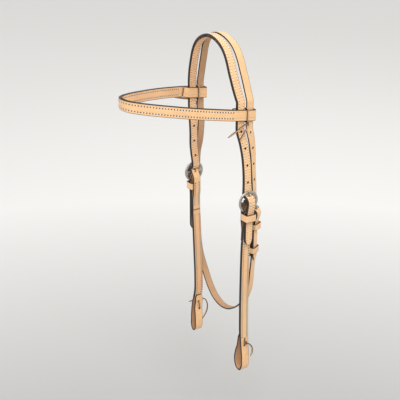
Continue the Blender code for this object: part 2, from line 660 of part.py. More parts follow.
def make_throatlatch():
    """One strap: near billet, over the poll, far side, under the jaw and up to the near buckle."""
    points = throat_billet_points()
    for drop in reversed(STRAIGHT_ENDS):
        points.append((CROWN_SIDE, THROAT_Y, -drop))
    points += arch_points(CROWN_RISE + THROAT_POLL_RISE, THROAT_POLL_Y, THROAT_Y, THROAT_SWAY_POWER,
                          CROWN_SIDE)
    for drop in STRAIGHT_ENDS:
        points.append((-CROWN_SIDE, THROAT_Y, -drop))
    points += [(x * LEG_SPREAD, y * THROAT_BACK, -z * THROAT_DEPTH) for x, y, z in THROAT_SHARES]
    clear = rim_clear(THROAT_RIM_RADIUS, THROAT_RIM_WIDTH, THROAT_WIDTH)
    fold = fold_points(THROAT_FOLD_RADIUS, -THROAT_BEHIND, THROAT_INNER, THROAT_FOLD_LENGTH, clear)
    points.append(THROAT_BUCKLE.point(-THROAT_BEHIND, -THROAT_FOLD_LENGTH * THROAT_RISE_SHARE))
    points += [THROAT_BUCKLE.point(outward, up) for outward, up in fold]
    route = Route(points)
    across = throat_twist(route)
    strap = ribbon("throatlatch_strap", route, THROAT_WIDTH, THROAT_THICKNESS, across, PARTS, LEATHER_FINISH,
                   start_tip=TIP_SHARES)
    first = route.nearest(THROAT_BUCKLE.point(*on_circle(THROAT_BILLET_RADIUS, BILLET_HOLE_ANGLE)))
    places = [first + k * THROAT_HOLE_PITCH for k in range(THROAT_HOLES)]
    holes = punch("throat_holes", route, places, across, HOLE_RADIUS, CUT_OVERRUN)
    boolean(strap, holes, "DIFFERENCE")
    half = THROAT_TONGUE_RADIUS + BAR_CLEARANCE
    reach = THROAT_FOLD_RADIUS + THROAT_THICKNESS / 2 + SEAM_GAP / 2
    slot = box("throat_slot", (-reach, -half, -reach), (reach, half, reach), CUTTERS, THROAT_BUCKLE.turn,
               THROAT_BUCKLE.place)
    boolean(strap, slot, "DIFFERENCE")


def cheek_points(side, buckle):
    """A cheek from its fold-back's end, over the buckle's bar and down to the tip inside the bit loop."""
    clear = rim_clear(RIM_RADIUS, RIM_WIDTH, STRAP_WIDTH)
    fold = fold_points(FOLD_RADIUS, CHEEK_OUTER, CHEEK_TUCKED, CHEEK_FOLD_LENGTH, clear)[::-1]
    below = -RIM_OUTER - KEEPER_RIM_GAP - KEEPER_HEIGHT
    straight = [point for point in fold if point[1] > below]
    fold_drop = BIT_FOLD_DROP - side["loop_rise"]
    tip_drop = BIT_TIP_DROP - side["tip_rise"]
    way = fold_drop - BUCKLE_DROP
    sway_rows = np.array(((SWAY_START_SHARE, 0.0),) + side["sway_shares"])

    def swayed(outward, up):
        place = buckle.point(outward, up)
        place[1] += CHEEK_WIDTH * np.interp(-up / way, sway_rows[:, 0], sway_rows[:, 1])
        return place

    points = []
    for share in CHEEK_BACK_SHARES:
        points.append(swayed(CHEEK_INNER, -share * CHEEK_FOLD_LENGTH))
    for outward, share in zip((CHEEK_INNER, CHEEK_TUCKED), TUCK_SHARES):
        points.append(buckle.point(outward, below - share * KEEPER_HEIGHT))
    points += [buckle.point(outward, up) for outward, up in straight]
    for share, _ in sway_rows:
        points.append(swayed(CHEEK_OUTER, -share * way))
    height = fold_drop - tip_drop

    def in_loop(outward, drop, sway):
        place = buckle.point(outward, BUCKLE_DROP - tip_drop - drop * height)
        place[1] += sway * CHEEK_WIDTH
        return place

    for (outward, drop), sway in zip(LOOP_SHARES, side["loop_sway_shares"]):
        points.append(in_loop(CHEEK_OUTER + outward * BIT_LOOP_DEPTH, drop, sway))
    leaving = CHEEK_LAID - LOOP_LEAVE_SHARES[0] * BIT_LOOP_DEPTH
    points.append(in_loop(leaving, LOOP_LEAVE_SHARES[1], side["tip_sway_share"]))
    points.append(in_loop(CHEEK_LAID, 0.0, side["tip_sway_share"]))
    return points


def make_cheek(side):
    """A cheek strap, folded at the buckle and at the bit, with its slot and lace holes, and its lining."""
    buckle = BUCKLES[side["name"]]
    route = Route(cheek_points(side, buckle))
    bar = route.nearest(buckle.point(0, FOLD_RADIUS))
    narrow = STRAP_WIDTH / CHEEK_WIDTH
    widen = [CHEEK_FOLD_LENGTH * share for share in WIDEN_SHARES]

    def profile(distance):
        return np.interp(abs(distance - bar), widen, (narrow, 1.0))

    name = "cheek_strap_" + side["name"]
    strap = ribbon(name, route, CHEEK_WIDTH, CHEEK_THICKNESS, Y_AXIS, PARTS, LEATHER_FINISH,
                   end_tip=ROUND_TIP_SHARES, profile=profile)
    start = route.nearest(buckle.point(CHEEK_OUTER, -CHEEK_FOLD_LENGTH)) + SEAM_GAP
    end_drop = BIT_TIP_DROP - side["tip_rise"] + CHEEK_LINING_LAP
    end = route.nearest(buckle.point(CHEEK_OUTER, BUCKLE_DROP - end_drop))
    ribbon("cheek_lining_" + side["name"], route, CHEEK_WIDTH, LINING_THICKNESS, Y_AXIS, PARTS, INNER_FINISH,
           start=start, end=end, offset=-side["sign"] * CHEEK_LINING_OFFSET, profile=profile)
    half = TONGUE_RADIUS + BAR_CLEARANCE
    reach = FOLD_RADIUS + CHEEK_THICKNESS / 2 + SEAM_GAP / 2
    slot = box(name + "_slot", (-reach, -half, -reach), (reach, half, reach), CUTTERS, 0.0, buckle.place)
    boolean(strap, slot, "DIFFERENCE")
    lace_holes = bmesh.new()
    for drop in (BIT_TIE_DROP, BIT_TIE_DROP + BIT_TIE_PITCH):
        place = (buckle.point(CHEEK_OUTER, 0)[0], side["tie_y"], -drop)
        turn = Matrix.Rotation(math.pi / 2, 4, "Y")
        bmesh.ops.create_cone(lace_holes, cap_ends=True, segments=HOLE_SEGMENTS, radius1=LACE_HOLE_RADIUS,
                              radius2=LACE_HOLE_RADIUS, depth=2 * (BIT_LOOP_DEPTH + CUT_OVERRUN),
                              matrix=Matrix.Translation(place) @ turn)
    data = bpy.data.meshes.new(name + "_lace_holes")
    lace_holes.to_mesh(data)
    lace_holes.free()
    boolean(strap, add(name + "_lace_holes", data, CUTTERS), "DIFFERENCE")
    return route


def make_keepers():
    """A loop tucked in the cheek's fold-back under each cheek buckle, and two loops on the throatlatch."""
    for side in (NEAR, FAR):
        buckle = BUCKLES[side["name"]]
        low = CHEEK_OUTER - CHEEK_THICKNESS / 2
        high = BEHIND_RIM + STACK / 2
        keeper("cheek_keeper_" + side["name"], buckle, low, high, STRAP_WIDTH / 2,
               -RIM_OUTER - KEEPER_RIM_GAP, KEEPER_HEIGHT)
    low = THROAT_INNER - THROAT_THICKNESS / 2
    top = -THROAT_RIM_OUTER - THROAT_KEEPER_GAP
    keeper("throat_keeper_upper", THROAT_BUCKLE, low, THROAT_BEHIND + THROAT_THICKNESS / 2, THROAT_WIDTH / 2,
           top, THROAT_KEEPER_HEIGHT)
    keeper("throat_keeper_lower", THROAT_BUCKLE, low, THROAT_FLUSH + THROAT_THICKNESS / 2, THROAT_WIDTH / 2,
           top - THROAT_KEEPER_SPACING, THROAT_KEEPER_HEIGHT)


def band_height(x, y):
    """The height of the browband's middle line, which rises to the front and to the far side."""
    return -BAND_DROP - BAND_SLOPE * y - BAND_TILT * x


def band_half():
    """The browband from its middle to the end of its near fold-back."""
    points = []
    for out, depth in BAND_SHARES:
        points.append((out * POCKET_OUT, -depth * BAND_DEPTH))
    points += [(POCKET_OUT, 0.0), (POCKET_OUT, POCKET_BACK / 2)]
    for outward, back in arc(POCKET_RADIUS, 0, 180, 9):
        points.append((POCKET_IN + POCKET_RADIUS + outward, POCKET_BACK + back))
    points += [(POCKET_IN, POCKET_BACK / 2), (POCKET_IN, POCKET_FRONT + STRAP_WIDTH / 4)]
    return points


def make_browband():
    """The outer strip, folded back round both straps at each end, and its lining."""
    half = band_half()
    seam = POCKET_FRONT - BAND_SEAM_LENGTH
    whole = [(-x, y) for x, y in half[:0:-1]] + half
    outer = Route([(x, y, band_height(x, y)) for x, y in whole])
    joins = []
    for sign in (-1, 1):
        touch = outer.nearest((sign * POCKET_OUT, seam, band_height(sign * POCKET_OUT, seam)))
        point, _, forward = frame_at(outer, touch, Z_AXIS)
        joins.append((touch, point, -forward))
    ends = []
    for sign, (touch, point, inward) in zip((-1, 1), joins):
        seated = point + inward * BAND_SEAM_OFFSET
        step = np.array((sign * POCKET_IN, POCKET_FRONT - BAND_THICKNESS / 4, 0.0))
        step[2] = band_height(step[0], step[1])
        ends.append((seated, step))
    points = [ends[0][0], ends[0][1]] + [(x, y, band_height(x, y)) for x, y in whole]
    points += [ends[1][1], ends[1][0]]
    route = Route(points)
    ribbon("browband_strap", route, BAND_WIDTH, BAND_THICKNESS, Z_AXIS, PARTS, LEATHER_FINISH)
    start = joins[0][0] + SEAM_GAP + BAND_THICKNESS
    end = joins[1][0] - SEAM_GAP - BAND_THICKNESS
    ribbon("browband_lining", outer, BAND_WIDTH, BAND_LINING_THICKNESS, Z_AXIS, PARTS, INNER_FINISH,
           start=start, end=end, offset=-BAND_LINING_OFFSET)


def knot(name, place, lengths):
    """A pulled-tight knot as an oval lump, in the cutters' collection until it joins its lace."""
    data = bpy.data.meshes.new(name)
    lump = bmesh.new()
    bmesh.ops.create_uvsphere(lump, u_segments=10, v_segments=8, radius=1,
                              matrix=Matrix.Translation(place) @ Matrix.Diagonal((*lengths, 1)))
    lump.to_mesh(data)
    lump.free()
    return add(name, data, CUTTERS)


def tie(name, loop, knot_place, knot_lengths, tails):
    """A lace round its loop, closed by a knot, with its loose ends."""
    lace = ribbon(name, Route(loop, smooth=False), LACE_WIDTH, LACE_THICKNESS, Y_AXIS, PARTS, LACE_FINISH)
    boolean(lace, knot(name + "_knot", knot_place, knot_lengths), "UNION")
    for k, (points, across) in enumerate(tails):
        route = Route([knot_place] + [np.add(knot_place, point) for point in points])
        tail = ribbon(f"{name}_tail_{k + 1}", route, LACE_END_WIDTH, LACE_THICKNESS, across, CUTTERS)
        boolean(lace, tail, "UNION")


def tails_of(side, rows, size):
    """Loose ends from their tables of shares, mirrored for the far side."""
    return [([(side["sign"] * out * size, back * size, up * size) for out, back, up in shares], across)
            for shares, across in rows[side["name"]]]


def make_band_tie(side):
    """The lace round a folded end of the browband, between the two crown straps."""
    sign = side["sign"]
    middle = band_height(sign * (POCKET_OUT + POCKET_IN) / 2, LACE_Y)
    half_band = BAND_WIDTH / 2 * math.hypot(1, BAND_SLOPE)
    half_band += BAND_SLOPE * LACE_WIDTH + BAND_TILT * POCKET_RADIUS
    reach = half_band + SEAM_GAP + LACE_THICKNESS / 2
    out = POCKET_OUT + BAND_THICKNESS / 2 + SEAM_GAP + LACE_THICKNESS / 2
    inside = POCKET_IN - BAND_THICKNESS / 2 - SEAM_GAP - LACE_THICKNESS / 2
    corner = LACE_THICKNESS / 2
    knot_x = POCKET_OUT - BAND_THICKNESS / 2 + KNOT_RADIUS
    low = middle - reach
    high = middle + reach
    outline = [(knot_x + corner, low), (out, low + corner), (out, middle), (out, high - corner),
               (out - corner, high), (inside + corner, high), (inside, high - corner), (inside, middle),
               (inside, low + corner), (inside + corner, low), (knot_x - corner, low)]
    loop = [(sign * x, LACE_Y, z) for x, z in outline]
    place = (sign * knot_x, LACE_Y, low - KNOT_RADIUS + LACE_THICKNESS / 2)
    tails = tails_of(side, BAND_TAIL_SHARES, BAND_WIDTH)
    tie("browband_tie_" + side["name"], loop, place, (KNOT_RADIUS, KNOT_RADIUS, KNOT_RADIUS), tails)


def make_bit_tie(side, cheek):
    """The lace through both layers of the cheek that closes the bit loop."""
    buckle = BUCKLES[side["name"]]
    lowest = int(np.argmin(cheek.points[:, 2]))
    rising = cheek.points[lowest:]
    clearance = CHEEK_THICKNESS / 2 + SEAM_GAP + LACE_THICKNESS
    drops = (BIT_TIE_DROP, BIT_TIE_DROP + BIT_TIE_PITCH)
    inside = [np.interp(-drop, rising[:, 2], rising[:, 0] * side["sign"]) - BUCKLE_SPREAD - clearance
              for drop in drops]
    out = CHEEK_OUTER + CHEEK_THICKNESS / 2 + SEAM_GAP + LACE_THICKNESS / 2
    corner = LACE_THICKNESS / 2
    middle = -sum(drops) / 2
    outline = [(out, middle + corner), (out, -drops[0] - corner), (out - corner, -drops[0]),
               (inside[0] + corner, -drops[0]), (inside[0], -drops[0] - corner),
               (inside[1], -drops[1] + corner), (inside[1] + corner, -drops[1]),
               (out - corner, -drops[1]), (out, -drops[1] + corner), (out, middle - corner)]
    loop = []
    for outward, height in outline:
        place = buckle.point(outward, height + BUCKLE_DROP)
        place[1] = side["tie_y"]
        loop.append(place)
    place = buckle.point(CHEEK_OUTER + CHEEK_THICKNESS / 2 + SEAM_GAP + KNOT_DEPTH, middle + BUCKLE_DROP)
    place[1] = side["tie_y"]
    tails = tails_of(side, BIT_TAIL_SHARES, BIT_TIE_PITCH)
    tie("bit_tie_" + side["name"], loop, place, (KNOT_DEPTH, KNOT_RADIUS, KNOT_RADIUS), tails)


def clear_scene():
    for old in list(bpy.data.objects):
        bpy.data.objects.remove(old)


def buckle_sites():
    sites = {}
    for side, turn in ((NEAR, 0.0), (FAR, math.pi)):
        place = (side["sign"] * BUCKLE_SPREAD, side["buckle_y"], -BUCKLE_DROP)
        sites[side["name"]] = Buckle(place, turn)
    return sites


clear_scene()
PARTS = collection("western_headstall")
CUTTERS = collection("cutters")
LEATHER_FINISH = material("leather", LEATHER, 0.55, 0.0)
INNER_FINISH = material("inner_leather", INNER_LEATHER, 0.75, 0.0)
LACE_FINISH = material("lace_leather", LACE_LEATHER, 0.65, 0.0)
METAL_FINISH = material("plated_metal", METAL, 0.30, 1.0)
BUCKLES = buckle_sites()
THROAT_BUCKLE = Buckle(THROAT_BUCKLE_PLACE, THROAT_TWIST)

make_crown()
make_throatlatch()
make_browband()
for one_side in (NEAR, FAR):
    make_band_tie(one_side)
    make_bit_tie(one_side, make_cheek(one_side))
    label = one_side["name"]
    site = BUCKLES[label]
    buckle_frame("cheek_buckle_" + label, site, RIM_RADIUS, RIM_WIDTH, RIM_THICKNESS, BAR_RADIUS)
    tongue("cheek_tongue_" + label, site, BAR_RADIUS, TONGUE_RADIUS, RIM_RADIUS, RIM_HALF, RIM_WIDTH)
buckle_frame("throat_buckle", THROAT_BUCKLE, THROAT_RIM_RADIUS, THROAT_RIM_WIDTH, THROAT_RIM_THICKNESS,
             THROAT_BAR_RADIUS)
tongue("throat_tongue", THROAT_BUCKLE, THROAT_BAR_RADIUS, THROAT_TONGUE_RADIUS, THROAT_RIM_RADIUS,
       THROAT_RIM_HALF, THROAT_RIM_WIDTH)
make_keepers()
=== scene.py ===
"""Dresses the western headstall: waxed leather straps with dyed edges and sewn seams, dull plated buckles,
tied laces, and a plain pale studio with its camera.

The origin is the poll rest, +Z is up, the horse faces -Y and its left (near) side is +X. Lengths are in
metres.
"""
import math

import bmesh
import bpy
import numpy as np
from mathutils import Matrix, Vector


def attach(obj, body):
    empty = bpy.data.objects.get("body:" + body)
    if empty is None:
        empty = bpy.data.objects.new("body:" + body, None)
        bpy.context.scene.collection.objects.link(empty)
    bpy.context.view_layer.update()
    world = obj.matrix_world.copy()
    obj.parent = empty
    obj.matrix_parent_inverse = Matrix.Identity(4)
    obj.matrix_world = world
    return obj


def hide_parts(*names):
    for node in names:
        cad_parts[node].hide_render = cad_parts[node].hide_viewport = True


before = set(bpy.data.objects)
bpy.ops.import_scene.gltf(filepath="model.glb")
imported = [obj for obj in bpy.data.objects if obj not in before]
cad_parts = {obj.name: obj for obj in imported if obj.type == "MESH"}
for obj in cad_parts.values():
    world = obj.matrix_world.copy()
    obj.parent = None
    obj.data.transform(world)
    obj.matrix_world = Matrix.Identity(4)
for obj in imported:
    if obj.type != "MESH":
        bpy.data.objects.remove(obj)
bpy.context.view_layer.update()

bl_info = {
    "name": "Western Headstall",
    "version": (1, 0, 0),
    "blender": (4, 5, 0),
    "location": "3D View > Sidebar > Headstall",
    "description": "Leather, stitching, buckles and laces for a western headstall",
    "category": "Object",
}

# Leather
STRAP_WIDTH = 0.0127
STRAP_THICKNESS = 0.0030
LINING_THICKNESS = 0.0019
THROAT_WIDTH = 0.0120
THROAT_THICKNESS = 0.0024
CHEEK_WIDTH = 0.0145
CHEEK_THICKNESS = 0.0026
BAND_WIDTH = 0.0159
BAND_THICKNESS = 0.0026
BAND_LINING_THICKNESS = 0.0020
SEAM_GAP = 0.0003
TIP_LENGTH = 0.0100

# Punched holes
HOLE_RADIUS = 0.0022
HOLE_PITCH = 0.0250
THROAT_HOLE_PITCH = 0.0243
THROAT_HOLES = 6
LACE_HOLE_RADIUS = 0.0017
CUT_OVERRUN = 0.0100

# The head that it fits
LEG_SPREAD = 0.0619
ARCH_DROP = 0.0800
CROWN_Y = 0.0030
CROWN_POLL_Y = -0.0026
THROAT_POLL_Y = 0.0104
THROAT_POLL_RISE = 0.0024
CROWN_SWAY_POWER = 3
THROAT_SWAY_POWER = 0.7
STRAIGHT_DROP = 0.1180

# Cheek buckles
BUCKLE_DROP = 0.2245
BUCKLE_SPREAD = 0.0750
RIM_RADIUS = 0.0145
RIM_WIDTH = 0.0040
RIM_THICKNESS = 0.0028
BAR_RADIUS = 0.0013
TONGUE_RADIUS = 0.0010
RIM_CLEARANCE = 0.0004
BAR_CLEARANCE = 0.0003

# Throat buckle
THROAT_BUCKLE_PLACE = (0.0665, 0.0303, -0.2490)
THROAT_TWIST = math.radians(25)
THROAT_RIM_RADIUS = 0.0104
THROAT_RIM_WIDTH = 0.0020
THROAT_RIM_THICKNESS = 0.0020
THROAT_BAR_RADIUS = 0.0011
THROAT_TONGUE_RADIUS = 0.0009
THROAT_FOLD_LENGTH = 0.0700
THROAT_BILLET_LENGTH = 0.0760
THROAT_DEPTH = 0.4385
THROAT_BACK = 0.0350

# Cheeks
CHEEK_FOLD_LENGTH = 0.0625
CHEEK_LINING_LAP = 0.0040
BIT_FOLD_DROP = 0.5100
BIT_LOOP_DEPTH = 0.0150
BIT_TIP_DROP = 0.4440
BIT_TIE_DROP = 0.4520
BIT_TIE_PITCH = 0.0120

# Keepers
KEEPER_HEIGHT = 0.0115
THROAT_KEEPER_HEIGHT = 0.0100
KEEPER_THICKNESS = 0.0018
KEEPER_CLEARANCE = 0.0006
KEEPER_CORNER = 0.0007
KEEPER_RIM_GAP = 0.0010
THROAT_KEEPER_SPACING = 0.0385
THROAT_KEEPER_GAP = 0.0040

# Browband
BAND_DEPTH = 0.1480
BAND_DROP = 0.0946
BAND_SLOPE = 0.1320
BAND_TILT = 0.0440
POCKET_CLEARANCE = 0.0006
BAND_SEAM_LENGTH = 0.0080

# Laces
LACE_WIDTH = 0.0022
LACE_THICKNESS = 0.0016
LACE_CLEARANCE = 0.0003
LACE_END_WIDTH = 0.0028
KNOT_RADIUS = 0.0030
KNOT_DEPTH = 0.0022

# The angle from the outward way, in degrees, at which a tongue goes through its billet
BILLET_HOLE_ANGLE = 80

# Places between two points of a smooth line, and the least distance between two cross-sections
FINE_STEPS = 24
LEAST_STEP = 0.00014
# Points of a strap's turn round a bar, of a billet's turn over it and of a tongue's loop, which goes from one
# angle to the other, in degrees
FOLD_STEPS = 9
BILLET_STEPS = 6
LOOP_STEPS = 24
LOOP_ANGLES = (300, 90)

# Rows of (drop, spread) from the poll to the straight stretch, as shares of ARCH_DROP and LEG_SPREAD
ARCH_SHARES = ((0.00, 0.000), (0.02, 0.178), (0.07, 0.357), (0.15, 0.514), (0.25, 0.628), (0.36, 0.706),
               (0.50, 0.775), (0.66, 0.853), (0.82, 0.924), (0.93, 0.973))
# Rows of (drop, spread, near sway, far sway) from the straight stretch to the buckle, as shares of the way
LEG_SHARES = ((0.24, 0.42, 0.50, 0.34), (0.45, 0.70, 0.84, 0.54), (0.67, 0.91, 0.97, 0.65),
              (0.84, 1.00, 1.00, 0.835))
# Rows of (spread, depth) of the browband from its middle, as shares of its half width and BAND_DEPTH
BAND_SHARES = ((0.00, 1.000), (0.146, 0.985), (0.293, 0.925), (0.418, 0.840), (0.523, 0.750),
               (0.611, 0.660), (0.695, 0.570), (0.773, 0.475), (0.842, 0.380), (0.899, 0.280),
               (0.950, 0.180), (0.988, 0.085))
# Rows of (spread, back, depth) of the throatlatch from the far side to the near one, as shares of
# LEG_SPREAD, THROAT_BACK and THROAT_DEPTH
THROAT_SHARES = ((-1.085, 0.648, 0.310), (-1.148, 0.700, 0.358), (-1.245, 0.745, 0.406),
                 (-1.385, 0.800, 0.451), (-1.420, 0.800, 0.506), (-1.428, 0.800, 0.575),
                 (-1.430, 0.815, 0.685), (-1.422, 0.860, 0.783), (-1.385, 0.970, 0.862),
                 (-1.165, 0.995, 0.920), (-0.885, 0.945, 0.964), (-0.582, 0.886, 0.990),
                 (-0.225, 0.843, 1.000), (0.131, 0.814, 0.990), (0.419, 0.800, 0.966),
                 (0.713, 0.786, 0.926), (0.902, 0.766, 0.887), (1.007, 0.766, 0.845),
                 (1.038, 0.790, 0.788))
# Rows of (drop, sway, turn) of the near throat billet from the straight stretch to its buckle
THROAT_LEG_SHARES = ((0.16, 0.36, 0.25), (0.34, 0.60, 0.70), (0.55, 0.745, 1.00), (0.74, 0.89, 1.00))
# Rows of (outward, drop) of the bit loop, as shares of BIT_LOOP_DEPTH and of the loop's height
LOOP_SHARES = ((0.00, 0.35), (0.04, 0.70), (-0.04, 0.89), (-0.34, 0.99), (-0.72, 0.96), (-0.97, 0.85),
               (-1.00, 0.70), (-0.82, 0.50), (-0.53, 0.32))
# Rows of (distance, width) of a pointed and of a round strap end, as shares of TIP_LENGTH and the width
TIP_SHARES = ((0.00, 0.16), (0.10, 0.42), (0.35, 0.70), (0.70, 0.92), (1.00, 1.00))
ROUND_TIP_SHARES = ((0.00, 0.30), (0.08, 0.60), (0.25, 0.82), (0.50, 0.96), (0.80, 1.00))
# Knots of the straight stretch under the arch, as shares of its length
STRAIGHT_SHARES = (0.0, 0.125, 0.845, 1.0)
# Rows of (outward, up) of a billet over its lower rim: the share of the way out from flush with its strap,
# and the height as a share of the rim's radius
BILLET_RISE_SHARES = ((0.0, -2.80), (0.0, -2.60), (0.5, -1.65), (1.0, -1.00))
# Where the billet turns in to the bar, as shares of its radius there, and where it passes back behind the
# upper rim
BILLET_TURN_SHARES = (0.92, -0.68)
BILLET_BACK_SHARES = (0.58, 0.30)
# A strap folded round its bar: rows of (outward, down) of its outer layer, as shares of the layer's place and
# of the rim's clear height, then its turn and its inner layer's start, as shares of the fold's radius
FOLD_FRONT_SHARES = ((1.0, 1.70), (1.0, 1.25), (1.0, 1.00), (0.5, 0.74))
FOLD_TURN_SHARES = (0.45, 1.35)
FOLD_BACK_SHARES = ((0.77, 1.75), (0.97, 3.10), (1.00, 4.20))
FOLD_MIDDLE_SHARE = 0.55
THROAT_RISE_SHARE = 1.12
# Rows of (outward, up) of a tongue from the bar to the rim, as shares of its rest on the rim and of that way
TONGUE_SHARES = ((0.30, 0.35), (0.75, 0.72), (1.00, 1.00))
TONGUE_TIP_SHARE = 0.45
# The cheek's fold-back from its end up, where the cheek starts to sway and where it widens below its buckle
CHEEK_BACK_SHARES = (1.0, 0.85)
SWAY_START_SHARE = 0.18
WIDEN_SHARES = (0.50, 1.40)
# Where the inner layer ends its bulge over the keeper's back, as shares of KEEPER_HEIGHT below the keeper
TUCK_SHARES = (1.30, 0.20)
# Where the inner end leaves the bit loop, as shares of BIT_LOOP_DEPTH and of the loop's height
LOOP_LEAVE_SHARES = (0.08, 0.17)
# Rows of (outward, back, up) of each loose end from its knot, as shares of BAND_WIDTH, with its width's way
BAND_TAIL_SHARES = {
    "near": ((((0.15, -0.40, -0.05), (0.20, -1.00, -0.30), (0.20, -1.60, -0.60), (0.16, -2.15, -0.88)),
              (0.0, 0.3, 1.0)),
             (((0.12, -0.12, -0.35), (0.15, -0.38, -0.72), (0.12, -0.65, -1.10), (0.10, -0.88, -1.45)),
              (0.0, 1.0, 0.3))),
    "far": ((((0.12, -0.45, 0.02), (0.18, -1.00, 0.12), (0.20, -1.60, 0.26), (0.25, -2.15, 0.38)),
             (0.0, 0.2, 1.0)),
            (((0.12, 0.22, -0.30), (0.18, 0.50, -0.75), (0.20, 0.75, -1.25), (0.20, 0.98, -1.72)),
             (0.0, 1.0, 0.3))),
}
# The same for the bit ties, as shares of BIT_TIE_PITCH
BIT_TAIL_SHARES = {
    "near": ((((0.15, 0.50, -0.30), (0.30, 0.82, -0.90), (0.28, 0.85, -1.50), (0.15, 0.68, -2.20)),
              (1.0, 0.6, 0.0)),),
    "far": ((((0.05, 0.80, 0.15), (0.00, 1.50, 0.05), (0.00, 2.05, -0.90), (0.00, 2.00, -1.90),
              (0.00, 1.20, -3.15)), (1.0, 0.0, 0.0)),
            (((0.20, -0.40, 0.15), (0.35, -0.80, 0.00)), (0.0, 0.0, 1.0))),
}
NEAR = {
    "name": "near",
    "sign": 1,
    "buckle_y": 0.0106,
    "billet_length": 0.0670,
    "holes_above": 4,
    "holes_below": 0,
    # Rows of (drop, sway) of the cheek below the keeper, as shares of the way down and of CHEEK_WIDTH
    "sway_shares": ((0.30, -0.05), (0.48, -0.08), (0.66, -0.06), (0.78, 0.00)),
    "loop_sway_shares": (0.10, 0.17, 0.17, 0.14, 0.10, 0.06, 0.03, 0.01, 0.00),
    "tip_sway_share": 0.00,
    "tie_y": 0.0112,
    "loop_rise": 0.0,
    "tip_rise": 0.0,
}
FAR = {
    "name": "far",
    "sign": -1,
    "buckle_y": 0.0144,
    "billet_length": 0.0990,
    "holes_above": 3,
    "holes_below": 1,
    "sway_shares": ((0.30, 0.12), (0.48, 0.26), (0.66, 0.38), (0.75, 0.36)),
    "loop_sway_shares": (0.00, -0.06, -0.10, -0.14, -0.18, -0.20, -0.20, -0.10, 0.05),
    "tip_sway_share": 0.22,
    "tie_y": 0.0160,
    "loop_rise": 0.0065,
    "tip_rise": 0.0030,
}

# Sizes that follow from those above
STACK = STRAP_THICKNESS + SEAM_GAP + LINING_THICKNESS
STRAP_OFFSET = (LINING_THICKNESS + SEAM_GAP) / 2
LINING_OFFSET = (STRAP_THICKNESS + SEAM_GAP) / 2
RIM_HALF = RIM_THICKNESS / 2
BEHIND_RIM = RIM_HALF + RIM_CLEARANCE + STACK / 2
FOLD_RADIUS = BAR_RADIUS + BAR_CLEARANCE + CHEEK_THICKNESS / 2
FOLD_OUTER = FOLD_RADIUS + CHEEK_THICKNESS / 2
BILLET_RADIUS = FOLD_OUTER + SEAM_GAP + STACK / 2
CHEEK_OUTER = -(RIM_HALF + RIM_CLEARANCE + CHEEK_THICKNESS / 2)
CHEEK_INNER = CHEEK_OUTER - CHEEK_THICKNESS - SEAM_GAP
CHEEK_TUCKED = CHEEK_OUTER - CHEEK_THICKNESS - KEEPER_CLEARANCE - KEEPER_THICKNESS - SEAM_GAP
CHEEK_LINING_OFFSET = (CHEEK_THICKNESS + LINING_THICKNESS) / 2 + SEAM_GAP
CHEEK_LAID = CHEEK_OUTER - CHEEK_THICKNESS - LINING_THICKNESS - 2 * SEAM_GAP
BILLET_FLUSH = CHEEK_OUTER + CHEEK_THICKNESS / 2 + SEAM_GAP + STACK / 2
RIM_OUTER = RIM_RADIUS + RIM_WIDTH / 2
THROAT_RIM_HALF = THROAT_RIM_THICKNESS / 2
THROAT_BEHIND = THROAT_RIM_HALF + RIM_CLEARANCE + THROAT_THICKNESS / 2
THROAT_FOLD_RADIUS = THROAT_BAR_RADIUS + BAR_CLEARANCE + THROAT_THICKNESS / 2
THROAT_BILLET_RADIUS = THROAT_FOLD_RADIUS + THROAT_THICKNESS + SEAM_GAP
THROAT_INNER = -THROAT_BEHIND - THROAT_THICKNESS - SEAM_GAP
THROAT_FLUSH = -THROAT_BEHIND + THROAT_THICKNESS + SEAM_GAP
THROAT_RIM_OUTER = THROAT_RIM_RADIUS + THROAT_RIM_WIDTH / 2
STRAIGHT_ENDS = tuple(ARCH_DROP + share * (STRAIGHT_DROP - ARCH_DROP) for share in STRAIGHT_SHARES)
CROWN_RISE = STACK / 2
CROWN_SIDE = LEG_SPREAD + STRAP_OFFSET
LACE_GAP = LACE_WIDTH + 2 * LACE_CLEARANCE
THROAT_Y = CROWN_Y + STRAP_WIDTH / 2 + LACE_GAP + THROAT_WIDTH / 2
LACE_Y = CROWN_Y + (STRAP_WIDTH + LACE_GAP) / 2
POCKET_OUT = CROWN_SIDE + STRAP_THICKNESS / 2 + POCKET_CLEARANCE + BAND_THICKNESS / 2
POCKET_IN = LEG_SPREAD - STACK / 2 - POCKET_CLEARANCE - BAND_THICKNESS / 2
POCKET_RADIUS = (POCKET_OUT - POCKET_IN) / 2
POCKET_FRONT = CROWN_Y - STRAP_WIDTH / 2 - POCKET_CLEARANCE
POCKET_BACK = THROAT_Y + THROAT_WIDTH / 2 + POCKET_CLEARANCE - POCKET_RADIUS + BAND_THICKNESS
BAND_LINING_OFFSET = (BAND_THICKNESS + BAND_LINING_THICKNESS) / 2 + 2 * SEAM_GAP
BAND_SEAM_OFFSET = BAND_THICKNESS + SEAM_GAP
BIT_TIE_DROPS = (BIT_TIE_DROP, BIT_TIE_DROP + BIT_TIE_PITCH)
LACE_HALF = LACE_THICKNESS / 2
LACE_LIFT = SEAM_GAP + LACE_HALF
Y_AXIS = np.array((0.0, 1.0, 0.0))
Z_AXIS = np.array((0.0, 0.0, 1.0))


def unit(vector):
    """The vector of length 1 in the same direction."""
    return np.asarray(vector, float) / np.linalg.norm(vector)


